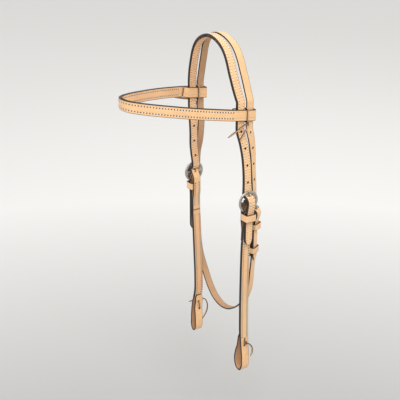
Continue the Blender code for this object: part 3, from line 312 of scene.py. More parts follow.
class Route:
    """A line through points, smooth or with its corners, measured by the distance along it."""

    def __init__(self, points, smooth=True):
        knots = np.array(points, float)
        self.points = self.smoothed(knots) if smooth else knots
        steps = np.linalg.norm(np.diff(self.points, axis=0), axis=1)
        self.distances = np.concatenate(((0.0,), np.cumsum(steps)))
        self.length = self.distances[-1]

    @staticmethod
    def smoothed(knots):
        """Many points along a smooth line through the knots."""
        spans = np.linalg.norm(np.diff(knots, axis=0), axis=1)
        slopes = np.diff(knots, axis=0) / spans[:, None]
        before = spans[:-1, None]
        after = spans[1:, None]
        inner = (slopes[:-1] * after + slopes[1:] * before) / (before + after)
        tangents = np.vstack((slopes[:1], inner, slopes[-1:]))
        fine = []
        for i, span in enumerate(spans):
            for t in np.linspace(0, 1, FINE_STEPS, endpoint=False):
                fine.append((2 * t**3 - 3 * t**2 + 1) * knots[i] + (t**3 - 2 * t**2 + t) * span * tangents[i]
                            + (3 * t**2 - 2 * t**3) * knots[i + 1] + (t**3 - t**2) * span * tangents[i + 1])
        return np.array(fine + [knots[-1]])

    def at(self, distance):
        """The point at a distance from the start."""
        return np.array([np.interp(distance, self.distances, self.points[:, k]) for k in range(3)])

    def direction(self, distance):
        """The unit vector along the line, at a distance from the start."""
        reach = self.length / len(self.points) / 2
        low = max(distance - reach, 0)
        high = min(distance + reach, self.length)
        return unit(self.at(high) - self.at(low))

    def nearest(self, place):
        """The distance from the start of the point nearest to a place."""
        return self.distances[np.argmin(np.linalg.norm(self.points - np.array(place), axis=1))]

    def stations(self, start, end, extra, step, turn):
        """Distances from start to end, at most a step apart, and closer where the line bends."""
        kept = [start]
        last = self.direction(start)
        places = np.sort(np.concatenate((self.distances, np.arange(start, end, step))))
        for distance in places[(places > start) & (places < end)]:
            here = self.direction(distance)
            bend = math.acos(min(1.0, float(here @ last)))
            if distance - kept[-1] >= step or bend > turn:
                kept.append(distance)
                last = here
        kept = sorted(kept + list(extra) + [end])
        clear = [kept[0]]
        for distance in kept[1:-1]:
            if distance - clear[-1] > LEAST_STEP and end - distance > LEAST_STEP / 2:
                clear.append(distance)
        return clear + [end]


def on_circle(radius, angle):
    """The point (outward, up) on a circle about the origin, at an angle in degrees from the outward way."""
    turn = math.radians(angle)
    return radius * math.cos(turn), radius * math.sin(turn)


def arc(radius, start, end, steps):
    """Points (outward, up) along a circle about the origin, between two angles."""
    return [on_circle(radius, angle) for angle in np.linspace(start, end, steps)]


def frame_at(route, distance, across):
    """The point, the width direction and the inward direction of a strap at a distance."""
    along = route.direction(distance)
    wanted = np.array(across(distance) if callable(across) else across, float)
    width = unit(wanted - (wanted @ along) * along)
    return route.at(distance), width, np.cross(along, width)


def width_share(distance, start, end, start_tip, end_tip):
    """How wide a strap is at a distance, where its ends narrow to their tips."""
    share = 1.0
    for shares, from_end in ((start_tip, distance - start), (end_tip, end - distance)):
        if shares:
            rows = np.array(shares)
            share = min(share, np.interp(from_end, rows[:, 0] * TIP_LENGTH, rows[:, 1]))
    return share


class Buckle:
    """Where a buckle stands: its bar's centre, its outward direction and the way along its bar."""

    def __init__(self, place, outward_turn):
        self.place = np.array(place, float)
        self.turn = outward_turn
        self.outward = np.array((math.cos(outward_turn), math.sin(outward_turn), 0.0))
        self.along = np.array((-math.sin(outward_turn), math.cos(outward_turn), 0.0))

    def point(self, outward, up):
        """The place outward of the middle of the bar and up from it."""
        return self.place + self.outward * outward + Z_AXIS * up


def rounded_outline(low, high, corner, steps):
    """Points round a rectangle with round corners."""
    points = []
    for k, (x, y) in enumerate(((high[0], high[1]), (low[0], high[1]), (low[0], low[1]), (high[0], low[1]))):
        centre_x = x - corner if x == high[0] else x + corner
        centre_y = y - corner if y == high[1] else y + corner
        for dx, dy in arc(corner, 90 * k, 90 * k + 90, steps):
            points.append((centre_x + dx, centre_y + dy))
    return points


def rim_clear(radius, width, strap_width):
    """How far from the bar the inside of a rim lies, at the edge of a strap."""
    return math.sqrt(radius**2 - (strap_width / 2) ** 2) - width / 2


def billet_points(buckle, length, flush, behind, radius, rim, clear, rim_outer):
    """A billet from its tip, over the lower rim, round the bar's fold and back behind the upper rim."""
    seated = BILLET_RISE_SHARES[0][1] * rim
    local = [(flush, -length), (flush, (seated - length) / 2)]
    for out, up in BILLET_RISE_SHARES:
        local.append((flush + (behind - flush) * out, up * rim))
    local.append((radius * BILLET_TURN_SHARES[0], radius * BILLET_TURN_SHARES[1]))
    local += arc(radius, 0, BILLET_HOLE_ANGLE, BILLET_STEPS)
    local.append((-behind * BILLET_BACK_SHARES[0], radius + (clear - radius) * BILLET_BACK_SHARES[1]))
    local += [(-behind, clear), (-behind, rim_outer)]
    return [buckle.point(outward, up) for outward, up in local]


def leg_points(side, buckle):
    """The crown's doubled billet from its tip up to the straight stretch, outward of the head."""
    clear = rim_clear(RIM_RADIUS, RIM_WIDTH, STRAP_WIDTH)
    points = billet_points(buckle, side["billet_length"], BILLET_FLUSH, BEHIND_RIM, BILLET_RADIUS,
                           RIM_RADIUS, clear, RIM_OUTER)
    way = BUCKLE_DROP - RIM_OUTER - STRAIGHT_DROP
    top = BUCKLE_SPREAD - BEHIND_RIM - LEG_SPREAD
    column = 2 if side is NEAR else 3
    for row in reversed(LEG_SHARES):
        points.append((side["sign"] * (LEG_SPREAD + row[1] * top),
                       CROWN_Y + row[column] * (side["buckle_y"] - CROWN_Y),
                       -STRAIGHT_DROP - row[0] * way))
    for drop in reversed(STRAIGHT_ENDS):
        points.append((side["sign"] * LEG_SPREAD, CROWN_Y, -drop))
    return points


def arch_points(rise, poll_y, leg_y, power, spread):
    """A strap over the poll, from the near straight stretch to the far one."""
    half = []
    for drop, out in ARCH_SHARES:
        back = poll_y + (leg_y - poll_y) * drop**power
        half.append((out * spread, back, rise * (1 - drop) - drop * ARCH_DROP))
    near = [half[k] for k in range(len(half) - 1, 0, -1)]
    far = [(-x, y, z) for x, y, z in half]
    return near + far


def throat_billet_points():
    """The near throat billet from its tip up to the straight stretch."""
    clear = rim_clear(THROAT_RIM_RADIUS, THROAT_RIM_WIDTH, THROAT_WIDTH)
    points = billet_points(THROAT_BUCKLE, THROAT_BILLET_LENGTH, THROAT_FLUSH, THROAT_BEHIND,
                           THROAT_BILLET_RADIUS, THROAT_RIM_RADIUS, clear, THROAT_RIM_OUTER)
    foot = np.array(points[-1])
    top = np.array((CROWN_SIDE, THROAT_Y, -STRAIGHT_DROP))
    for drop, sway, _ in reversed(THROAT_LEG_SHARES):
        place = top + (foot - top) * sway
        place[2] = top[2] + (foot[2] - top[2]) * drop
        points.append(tuple(place))
    return points


def throat_twist(route):
    """The throatlatch's width direction, which turns with its buckle on the near side."""
    start = route.nearest((CROWN_SIDE, THROAT_Y, -STRAIGHT_DROP))
    low = THROAT_BUCKLE.place[2] + THROAT_RIM_OUTER
    rows = [(start, 0.0)]
    for drop, _, turn in THROAT_LEG_SHARES:
        rows.append((start - drop * (-STRAIGHT_DROP - low), turn))
    rows.reverse()
    jaw = route.nearest((0.0, THROAT_BACK, -THROAT_DEPTH))
    back = route.nearest(THROAT_BUCKLE.point(-THROAT_BEHIND, -THROAT_FOLD_LENGTH))
    rows += [(jaw, 0.0), (back, 1.0)]
    distances, turns = np.array(rows).T

    def across(distance):
        twist = THROAT_TWIST * np.interp(distance, distances, turns)
        return np.array((-math.sin(twist), math.cos(twist), 0.0))

    return across


def fold_points(radius, outer, inner, down, clear):
    """A strap end up its outer layer, over the bar and down its inner layer."""
    half_way = -down * FOLD_MIDDLE_SHARE
    front = [(outer, half_way)]
    front += [(outer * out, -clear * up) for out, up in FOLD_FRONT_SHARES]
    front.append((radius * FOLD_TURN_SHARES[0], -radius * FOLD_TURN_SHARES[1]))
    back = [(inner * out, -radius * up) for out, up in FOLD_BACK_SHARES]
    back += [(inner, -clear * FOLD_FRONT_SHARES[0][1]), (inner, half_way), (inner, -down)]
    return front + arc(radius, 0, 180, FOLD_STEPS) + back


def cheek_points(side, buckle):
    """A cheek from its fold-back's end, over the buckle's bar and down to the tip inside the bit loop."""
    clear = rim_clear(RIM_RADIUS, RIM_WIDTH, STRAP_WIDTH)
    fold = fold_points(FOLD_RADIUS, CHEEK_OUTER, CHEEK_TUCKED, CHEEK_FOLD_LENGTH, clear)[::-1]
    below = -RIM_OUTER - KEEPER_RIM_GAP - KEEPER_HEIGHT
    straight = [point for point in fold if point[1] > below]
    fold_drop = BIT_FOLD_DROP - side["loop_rise"]
    tip_drop = BIT_TIP_DROP - side["tip_rise"]
    way = fold_drop - BUCKLE_DROP
    sway_rows = np.array(((SWAY_START_SHARE, 0.0),) + side["sway_shares"])

    def swayed(outward, up):
        place = buckle.point(outward, up)
        place[1] += CHEEK_WIDTH * np.interp(-up / way, sway_rows[:, 0], sway_rows[:, 1])
        return place

    points = []
    for share in CHEEK_BACK_SHARES:
        points.append(swayed(CHEEK_INNER, -share * CHEEK_FOLD_LENGTH))
    for outward, share in zip((CHEEK_INNER, CHEEK_TUCKED), TUCK_SHARES):
        points.append(buckle.point(outward, below - share * KEEPER_HEIGHT))
    points += [buckle.point(outward, up) for outward, up in straight]
    for share, _ in sway_rows:
        points.append(swayed(CHEEK_OUTER, -share * way))
    height = fold_drop - tip_drop

    def in_loop(outward, drop, sway):
        place = buckle.point(outward, BUCKLE_DROP - tip_drop - drop * height)
        place[1] += sway * CHEEK_WIDTH
        return place

    for (outward, drop), sway in zip(LOOP_SHARES, side["loop_sway_shares"]):
        points.append(in_loop(CHEEK_OUTER + outward * BIT_LOOP_DEPTH, drop, sway))
    leaving = CHEEK_LAID - LOOP_LEAVE_SHARES[0] * BIT_LOOP_DEPTH
    points.append(in_loop(leaving, LOOP_LEAVE_SHARES[1], side["tip_sway_share"]))
    points.append(in_loop(CHEEK_LAID, 0.0, side["tip_sway_share"]))
    return points


def band_height(x, y):
    """The height of the browband's middle line at a place. It rises to the front and to the far side."""
    return -BAND_DROP - BAND_SLOPE * y - BAND_TILT * x


def band_place(x, y):
    """A place on the browband's middle line."""
    return x, y, band_height(x, y)


def band_half():
    """The browband from its middle to the end of its near fold-back."""
    points = []
    for out, depth in BAND_SHARES:
        points.append((out * POCKET_OUT, -depth * BAND_DEPTH))
    points += [(POCKET_OUT, 0.0), (POCKET_OUT, POCKET_BACK / 2)]
    for outward, back in arc(POCKET_RADIUS, 0, 180, FOLD_STEPS):
        points.append((POCKET_IN + POCKET_RADIUS + outward, POCKET_BACK + back))
    points += [(POCKET_IN, POCKET_BACK / 2), (POCKET_IN, POCKET_FRONT + STRAP_WIDTH / 4)]
    return points


def tails_of(side, rows, size):
    """Loose ends from their tables of shares, mirrored for the far side."""
    return [([(side["sign"] * out * size, back * size, up * size) for out, back, up in shares], across)
            for shares, across in rows[side["name"]]]


BUCKLES = {side["name"]: Buckle((side["sign"] * BUCKLE_SPREAD, side["buckle_y"], -BUCKLE_DROP), turn)
           for side, turn in ((NEAR, 0.0), (FAR, math.pi))}
THROAT_BUCKLE = Buckle(THROAT_BUCKLE_PLACE, THROAT_TWIST)

# The rise of a face's middle over its edges, the reach of the edge dye and half of a seam groove's width
DOME = 0.00010
DYE_FADE = 0.0006
GROOVE_HALF = 0.0004
# Where the face's middle points stand, as a share of the width, and the steps round an edge
FACE_MIDDLE_SHARE = 0.12
EDGE_STEPS = 7
# The rounding of an edge reaches no further than this share of the width
CORNER_SHARE = 0.23
# The dye fades over no more than this share of the way from the rounding to the middle
FADE_SHARE = 0.4
# Rows of (share of the fade's reach, dye) from an edge inward
FADE_ROWS = ((0.0, 0.70), (0.35, 0.16), (1.0, 0.0))
# The furthest step between two cross-sections of a strap, and the most that it turns between them
VIEW_STEP = 0.0016
VIEW_TURN = math.radians(5)
# Rows of (distance from a cut end, thickness share, dye) where a strap's end is rounded over
END_ROWS = ((0.0, 0.45, 1.0), (0.0002, 0.80, 1.0), (0.0005, 1.0, 0.7), (0.0010, 1.0, 0.0))
# A punched hole closes up a little in oiled leather
PUNCH_SHARE = 0.80
# Sides of a punched hole, and points round a keeper's corner
HOLE_SIDES = 20
KEEPER_CORNER_STEPS = 9

# The seams: how far from a strap's end they start, and the sides of a thread
SEAM_CLEAR = 0.0045
THREAD_SIDES = 6
# Rows of (share along, height) of one stitch's middle line, the height as a share of the thread's radius
STITCH_SHARES = ((0.0, -1.30), (0.10, -0.48), (0.5, -0.32), (0.90, -0.48), (1.0, -1.30))
# A dark patch of painted shade for the stitch hole between two stitches: its radius and height as shares of
# the thread's radius, and its reach along the gap between them
STITCH_HOLE_SHADE_RADIUS_SHARE = 1.15
STITCH_HOLE_SHADE_RISE_SHARE = 0.24
STITCH_HOLE_SHADE_LENGTH_SHARE = 0.60
# How large the painted stitch-hole shade is on the crown and the throatlatch, on the browband and on the
# cheeks
CROWN_STITCH_SHADE_SHARE = 0.60
BAND_STITCH_SHADE_SHARE = 1.08
CHEEK_STITCH_SHADE_SHARE = 1.25
# How much further in the browband's seams lie than the other seams
BAND_INSET_SHARE = 1.25

# The laces: the reach of a corner's rounding, the shares of it at which the line is averaged, and its steps
EASE = 0.0009
EASE_SHARES = (-1, -0.5, 0, 0.5, 1)
EASE_STEPS = 3
# How dark a lace's knots are: edge dye as painted shade where the lace crosses itself
KNOT_SHADE_SHARE = 0.58
# Shares of a knot's half sizes by which its crossed lace is spread outward, back and up
KNOT_SHARES = (0.62, 0.27, 0.27)
# The half thickness of the lace in a knot, as a share of LACE_THICKNESS, and its steps and sides
KNOT_LACE_SHARE = 0.52
KNOT_STEPS = 90
KNOT_SIDES = 12

# The buckles: steps round a rim and round its section, and the power that squares the section a little
RIM_STEPS = 72
RIM_SIDES = 20
RIM_POWER = 0.80
# Points along a bar and along a tongue, and the sides of each
BAR_STEPS = 9
BAR_SIDES = 24
TONGUE_STEPS = 60
TONGUE_SIDES = 16
# How a tongue tapers: shares of its radius at shares of its length
TAPER_PLACES = (0.0, 0.6, 0.93, 0.98, 1.0)
TAPER_SHARES = (1.0, 1.0, 0.86, 0.72, 0.42)
# Sizes of the cheek buckles and of the throat one: the rim's radius, width and thickness, then the bar's
# radius and the tongue's
CHEEK_METAL = (RIM_RADIUS, RIM_WIDTH, RIM_THICKNESS, BAR_RADIUS, TONGUE_RADIUS)
THROAT_METAL = (THROAT_RIM_RADIUS, THROAT_RIM_WIDTH, THROAT_RIM_THICKNESS, THROAT_BAR_RADIUS,
                THROAT_TONGUE_RADIUS)

# Rows of (colour, roughness, depth of the grain, darkness of the patches, coat) of each leather
LEATHERS = {
    "waxed_grain": ("grain", 0.46, 0.00010, 0.07, 0.12),
    "raw_flesh": ("flesh", 0.66, 0.00016, 0.10, 0.0),
    # A darker copy of the flesh side: painted shade on the unlined inner sides
    "worn_flesh": ("worn", 0.70, 0.00018, 0.14, 0.0),
    # Painted shade on the walls of the punched holes and slots
    "punched_edge": ("punched", 0.62, 0.00010, 0.20, 0.0),
    "oiled_lace": ("lace", 0.50, 0.00010, 0.16, 0.08),
}
# Widths of the patches and of the streaks in the leather
CLOUD_SIZE = 0.045
STREAK_SIZE = 0.006
# Rows of (from low, from high, to low, to high) that turn a pattern into a mix, a tint or a dye
EVEN_MIX = (0.3, 0.7, 0.0, 1.0)
STREAK_TINT = (0.25, 0.75, 0.90, 1.06)
SPECK_TINT = (0.25, 0.75, 0.93, 1.05)
DYE_RAGGED = (0.3, 0.7, -0.12, 0.12)
DYE_REACH = (0.18, 0.72, 0.0, 1.0)
DYE_RUBBED = (0.60, 0.72, 0.0, 0.22)
# How much of a patch's darkness its pale parts gain, and the share of the leather's colour in rubbed dye
PALE_SHARE = 0.6
RUBBED_SHARE = 0.45
# The leather's roughness: the streaks' span, what they take away and add, and that of its dye and its wax
ROUGH_SPAN = (0.2, 0.8)
ROUGH_LESS = 0.07
ROUGH_MORE = 0.08
DYE_ROUGHNESS = 0.42
COAT_ROUGHNESS = 0.32
# The leather's specular level and the strength of its bump
LEATHER_SPECULAR = 0.42
LEATHER_BUMP = 0.5
# The thread: its patches, its twist and how dark its patches are
THREAD_PATCH_SIZE = 0.004
THREAD_TWIST_SIZE = 0.0004
THREAD_TWIST_DEPTH = 0.0001
THREAD_BUMP = 0.5
THREAD_DARK_SHARE = 0.86
THREAD_ROUGHNESS = 0.55
# The plating: its haze, its rubbing marks and how dark and how rough its haze is
METAL_HAZE_SIZE = 0.005
METAL_RUB_SIZE = 0.0006
METAL_RUB_DEPTH = 0.00005
METAL_BUMP = 0.15
METAL_DARK_SHARE = 0.80
METAL_ROUGHNESS = (0.25, 0.75, 0.24, 0.40)


class HeadstallSizes(bpy.types.PropertyGroup):
    """Sizes of the sewing and of the leather's edges."""
    edge_rounding: bpy.props.FloatProperty(
        name="Edge Rounding", description="How far the rounded edge reaches into a strap's width",
        default=0.0008, min=0.0002, max=0.003, unit="LENGTH", precision=4)
    seam_inset: bpy.props.FloatProperty(
        name="Seam Inset", description="Distance from a strap's edge to its row of stitches",
        default=0.0030, min=0.001, max=0.005, unit="LENGTH", precision=4)
    groove_depth: bpy.props.FloatProperty(
        name="Groove Depth", description="Depth of the groove that the stitches lie in",
        default=0.00022, min=0.0, max=0.001, unit="LENGTH", precision=5)
    stitch_pitch: bpy.props.FloatProperty(
        name="Stitch Pitch", description="Distance from one stitch to the next",
        default=0.0040, min=0.001, max=0.008, unit="LENGTH", precision=4)
    stitch_length: bpy.props.FloatProperty(
        name="Stitch Length", description="Length of the thread that shows in one stitch",
        default=0.0022, min=0.0005, max=0.007, unit="LENGTH", precision=4)
    thread_radius: bpy.props.FloatProperty(
        name="Thread Radius", description="Half of the sewing thread's thickness",
        default=0.00064, min=0.0001, max=0.001, unit="LENGTH", precision=5)
    pore_size: bpy.props.FloatProperty(
        name="Pore Size", description="Width of one cell of the leather's grain",
        default=0.0007, min=0.0002, max=0.005, unit="LENGTH", precision=4)


class HeadstallFinish(bpy.types.PropertyGroup):
    """Colours of the leather, the thread, the metal and the studio."""
    grain: bpy.props.FloatVectorProperty(
        name="Grain Side", description="Colour of the waxed outer side of the straps",
        subtype="COLOR", size=3, min=0.0, max=1.0, default=(0.94, 0.58, 0.30))
    flesh: bpy.props.FloatVectorProperty(
        name="Flesh Side", description="Colour of the straps' inner side and of the linings",
        subtype="COLOR", size=3, min=0.0, max=1.0, default=(0.94, 0.555, 0.29))
    # Painted shade: a darker copy of the flesh colour for the unlined inner sides of the throatlatch and
    # cheeks
    worn: bpy.props.FloatVectorProperty(
        name="Worn Flesh Side", description="Colour of the unlined inner sides, darker from wear",
        subtype="COLOR", size=3, min=0.0, max=1.0, default=(0.60, 0.350, 0.190))
    # Painted shade: the near-black colour given to the walls inside the punched holes and slots
    punched: bpy.props.FloatVectorProperty(
        name="Punched Holes", description="Colour of the leather inside the punched holes and slots",
        subtype="COLOR", size=3, min=0.0, max=1.0, default=(0.045, 0.018, 0.012))
    # The real edge dye, and also the colour of the painted shade in holes, stitch holes, knots and lace edges
    dye: bpy.props.FloatVectorProperty(
        name="Edge Dye", description="Colour of the dyed and rubbed edges",
        subtype="COLOR", size=3, min=0.0, max=1.0, default=(0.022, 0.014, 0.010))
    lace: bpy.props.FloatVectorProperty(
        name="Lace", description="Colour of the laces",
        subtype="COLOR", size=3, min=0.0, max=1.0, default=(0.74, 0.43, 0.22))
    thread: bpy.props.FloatVectorProperty(
        name="Thread", description="Colour of the waxed sewing thread",
        subtype="COLOR", size=3, min=0.0, max=1.0, default=(0.96, 0.90, 0.78))
    metal: bpy.props.FloatVectorProperty(
        name="Metal", description="Colour of the plated buckles",
        subtype="COLOR", size=3, min=0.0, max=1.0, default=(0.60, 0.57, 0.52))
    backdrop: bpy.props.FloatVectorProperty(
        name="Backdrop", description="Colour of the floor and of what lies behind it",
        subtype="COLOR", size=3, min=0.0, max=1.0, default=(0.915, 0.91, 0.893))
    light: bpy.props.FloatProperty(
        name="Light", description="Power of the main lamp in watts",
        subtype="POWER", default=20.8, min=0.0, max=200.0)


def wire(tree, kind, inputs=None, **settings):
    """A shader node with its settings and its inputs, each a value or another node's output."""
    made = tree.nodes.new(kind)
    for name, value in settings.items():
        setattr(made, name, value)
    for name, value in (inputs or {}).items():
        if isinstance(value, bpy.types.NodeSocket):
            tree.links.new(value, made.inputs[name])
        else:
            made.inputs[name].default_value = value
    return made


def blank_material(name):
    """A new material, its node tree and its shader."""
    made = bpy.data.materials.new(name)
    made.use_nodes = True
    return made, made.node_tree, made.node_tree.nodes["Principled BSDF"]


def mixed(tree, share, first, second, blend="MIX"):
    """The output of a mix of two colours. Their sockets come after those of the numbers and vectors."""
    return wire(tree, "ShaderNodeMix", {0: share, 6: first, 7: second}, data_type="RGBA",
                blend_type=blend).outputs[2]


def noise(tree, place, size, detail=3.0, roughness=0.55):
    """Noise whose largest patches are about as wide as a size."""
    made = wire(tree, "ShaderNodeTexNoise",
                {"Vector": place, "Scale": 1 / size, "Detail": detail, "Roughness": roughness})
    return made.outputs["Fac"]


def ranged(tree, value, low, high, to_low, to_high):
    """A pattern's values brought from one range to another."""
    made = wire(tree, "ShaderNodeMapRange", {"Value": value, "From Min": low, "From Max": high,
                                             "To Min": to_low, "To Max": to_high})
    return made.outputs["Result"]


def toned(colour, share=1.0):
    """A colour at a share of its brightness, with its alpha."""
    return tuple(min(1.0, channel * share) for channel in colour) + (1,)


def bumped(tree, shader, height, strength, depth):
    """Lets a pattern raise the surface."""
    bump = wire(tree, "ShaderNodeBump", {"Strength": strength, "Distance": depth, "Height": height})
    tree.links.new(bump.outputs["Normal"], shader.inputs["Normal"])


def summed(tree, first, second):
    """The sum of two values."""
    return wire(tree, "ShaderNodeMath", {0: first, 1: second}, operation="ADD").outputs[0]


def leather(name, colour, roughness, grain_depth, patch_depth, coat):
    """Waxed or raw leather: cloudy colour, fine pores, and rubbed dye where the edge attribute is high. That
    attribute is real edge dye on the straps' edges, and painted shade in the holes, stitch holes, knots and
    lace edges.
    """
    finish = bpy.context.scene.headstall_finish
    pore = bpy.context.scene.headstall_sizes.pore_size
    made, tree, shader = blank_material(name)
    place = wire(tree, "ShaderNodeTexCoord").outputs["Object"]
    edge = wire(tree, "ShaderNodeAttribute", attribute_name="edge").outputs["Fac"]
    cloud = noise(tree, place, CLOUD_SIZE, detail=4.0)
    streak = noise(tree, place, STREAK_SIZE, detail=4.0, roughness=0.65)
    speck = noise(tree, place, pore, roughness=0.7)
    base = mixed(tree, ranged(tree, cloud, *EVEN_MIX), toned(colour, 1 - patch_depth),
                 toned(colour, 1 + patch_depth * PALE_SHARE))
    for pattern, tint in ((streak, STREAK_TINT), (speck, SPECK_TINT)):
        base = mixed(tree, 1.0, base, ranged(tree, pattern, *tint), "MULTIPLY")
    dyed = ranged(tree, summed(tree, edge, ranged(tree, streak, *DYE_RAGGED)), *DYE_REACH)
    rubbed = ranged(tree, streak, *DYE_RUBBED)
    dye = mixed(tree, rubbed, toned(finish.dye), toned(colour, RUBBED_SHARE))
    tree.links.new(mixed(tree, dyed, base, dye), shader.inputs["Base Color"])
    rough = ranged(tree, streak, *ROUGH_SPAN, roughness - ROUGH_LESS, roughness + ROUGH_MORE)
    dull = wire(tree, "ShaderNodeMix", {"Factor": dyed, "A": rough, "B": DYE_ROUGHNESS}, data_type="FLOAT")
    tree.links.new(dull.outputs["Result"], shader.inputs["Roughness"])
    cells = wire(tree, "ShaderNodeTexVoronoi", {"Vector": place, "Scale": 1 / pore}, feature="F1")
    bumped(tree, shader, summed(tree, cells.outputs["Distance"], streak), LEATHER_BUMP, grain_depth)
    shader.inputs["Coat Weight"].default_value = coat
    shader.inputs["Coat Roughness"].default_value = COAT_ROUGHNESS
    shader.inputs["Specular IOR Level"].default_value = LEATHER_SPECULAR
    return made


def thread_finish(name):
    """Waxed thread, with a fine twist in its bump."""
    made, tree, shader = blank_material(name)
    place = wire(tree, "ShaderNodeTexCoord").outputs["Object"]
    colour = bpy.context.scene.headstall_finish.thread
    patches = noise(tree, place, THREAD_PATCH_SIZE, detail=2.0)
    base = mixed(tree, ranged(tree, patches, *EVEN_MIX), toned(colour, THREAD_DARK_SHARE), toned(colour))
    tree.links.new(base, shader.inputs["Base Color"])
    bumped(tree, shader, noise(tree, place, THREAD_TWIST_SIZE, detail=2.0), THREAD_BUMP, THREAD_TWIST_DEPTH)
    shader.inputs["Roughness"].default_value = THREAD_ROUGHNESS
    return made


def metal_finish(name):
    """Dull plating with light rubbing marks."""
    made, tree, shader = blank_material(name)
    place = wire(tree, "ShaderNodeTexCoord").outputs["Object"]
    colour = bpy.context.scene.headstall_finish.metal
    haze = noise(tree, place, METAL_HAZE_SIZE, detail=4.0, roughness=0.6)
    base = mixed(tree, ranged(tree, haze, *EVEN_MIX), toned(colour, METAL_DARK_SHARE), toned(colour))
    tree.links.new(base, shader.inputs["Base Color"])
    tree.links.new(ranged(tree, haze, *METAL_ROUGHNESS), shader.inputs["Roughness"])
    bumped(tree, shader, noise(tree, place, METAL_RUB_SIZE, roughness=0.7), METAL_BUMP, METAL_RUB_DEPTH)
    shader.inputs["Metallic"].default_value = 1.0
    return made


def finish_of(name):
    """One of the object's materials, made when it is first asked for."""
    found = bpy.data.materials.get(name)
    if found:
        return found
    if name in LEATHERS:
        colour, *values = LEATHERS[name]
        return leather(name, getattr(bpy.context.scene.headstall_finish, colour), *values)
    return {"waxed_thread": thread_finish, "dull_plating": metal_finish}[name](name)


def strap_section(width, thickness, seamed):
    """Once round a strap from its outer face: rows of (across, through, dye), and each span's side.

    A seamed strap has grooves for its stitches. Its value is the share of the seam inset at which they lie.
    """
    sizes = bpy.context.scene.headstall_sizes
    corner = min(sizes.edge_rounding, width * CORNER_SHARE)
    flat = width / 2 - corner
    fade = min(DYE_FADE, flat * FADE_SHARE)
    half = [(flat - fade * share, dye, 0.0) for share, dye in FADE_ROWS]
    if seamed:
        seam = width / 2 - sizes.seam_inset * seamed
        half += [(seam + GROOVE_HALF, 0.0, 0.0), (seam, 0.0, 1.0), (seam - GROOVE_HALF, 0.0, 0.0)]
    half.append((width * FACE_MIDDLE_SHARE, 0.0, 0.0))
    face = [(-a, dye, dip) for a, dye, dip in half] + [(a, dye, dip) for a, dye, dip in half[::-1]]
    level = [thickness / 2 - dip * sizes.groove_depth - DOME * (a / flat) ** 2 for a, _, dip in face]
    angles = np.radians(np.linspace(-90, 90, EDGE_STEPS + 2))[1:-1]
    tall = thickness / 2 - DOME
    rows = [(a, -t, dye) for (a, dye, _), t in zip(face, level)]
    rows += [(flat + corner * math.cos(t), tall * math.sin(t), 1.0) for t in angles]
    rows += [(a, t, dye) for (a, dye, _), t in zip(face[::-1], level[::-1])]
    rows += [(-flat - corner * math.cos(t), -tall * math.sin(t), 1.0) for t in angles]
    spans = [-1] * (len(face) - 1) + [0] * (EDGE_STEPS + 1)
    spans += [1] * (len(face) - 1) + [0] * (EDGE_STEPS + 1)
    return np.array(rows), spans


def mesh_object(name, points, faces, kinds, dyes, finishes):
    """An object from its points and faces, with a material for each face and the edge dye at each point."""
    data = bpy.data.meshes.new(name)
    data.from_pydata([tuple(p) for p in points], [], faces)
    if len(set(finishes)) == 1:
        finishes = finishes[:1]
        kinds = [0] * len(faces)
    for finish in finishes:
        data.materials.append(finish_of(finish))
    data.polygons.foreach_set("material_index", kinds)
    data.polygons.foreach_set("use_smooth", [len(face) < 5 for face in faces])
    if dyes is not None:
        layer = data.attributes.new("edge", "FLOAT", "POINT")
        layer.data.foreach_set("value", np.asarray(dyes, np.float32))
    data.validate()
    data.update()
    made = bpy.data.objects.new(name, data)
    bpy.context.scene.collection.objects.link(made)
    return made


def circle(centre, wide, tall, count):
    """Points round a centre, from its half width and its half height as vectors."""
    return [centre + math.cos(angle) * wide + math.sin(angle) * tall
            for angle in np.linspace(0, 2 * math.pi, count, endpoint=False)]


def tube_faces(first, rows, count, closed=False):
    """The faces along rows of points that go round, and over both ends where the tube isn't closed."""
    faces = []
    for row in range(rows if closed else rows - 1):
        here = first + row * count
        there = first + (row + 1) % rows * count
        for k in range(count):
            after = (k + 1) % count
            faces.append((here + k, here + after, there + after, there + k))
    if not closed:
        last = first + (rows - 1) * count
        faces += [tuple(range(first, first + count))[::-1], tuple(range(last, last + count))]
    return faces


def sweep(name, frames, section, spans, grain, finishes, closed=False, offset=0.0):
    """A strap's skin along frames of (point, across, inward, width share, thickness share, end dye)."""
    count = len(section)
    points = []
    dyes = []
    for point, across, inward, wide, thick, dye in frames:
        points.append(point + np.outer(section[:, 0] * wide, across)
                      + np.outer(section[:, 1] * thick + offset, inward))
        dyes.append(np.maximum(section[:, 2], dye))
    faces = []
    kinds = []
    rows = len(frames)
    for row in range(rows if closed else rows - 1):
        here = row * count
        there = (row + 1) % rows * count
        for k in range(count):
            after = (k + 1) % count
            faces.append((here + k, there + k, there + after, here + after))
            kinds.append(0 if spans[k] in (0, grain) else 1)
    if not closed:
        faces += [tuple(range(count)), tuple(range((rows - 1) * count, rows * count))[::-1]]
        kinds += [0, 0]
    return mesh_object(name, np.concatenate(points), faces, kinds, np.concatenate(dyes), finishes)


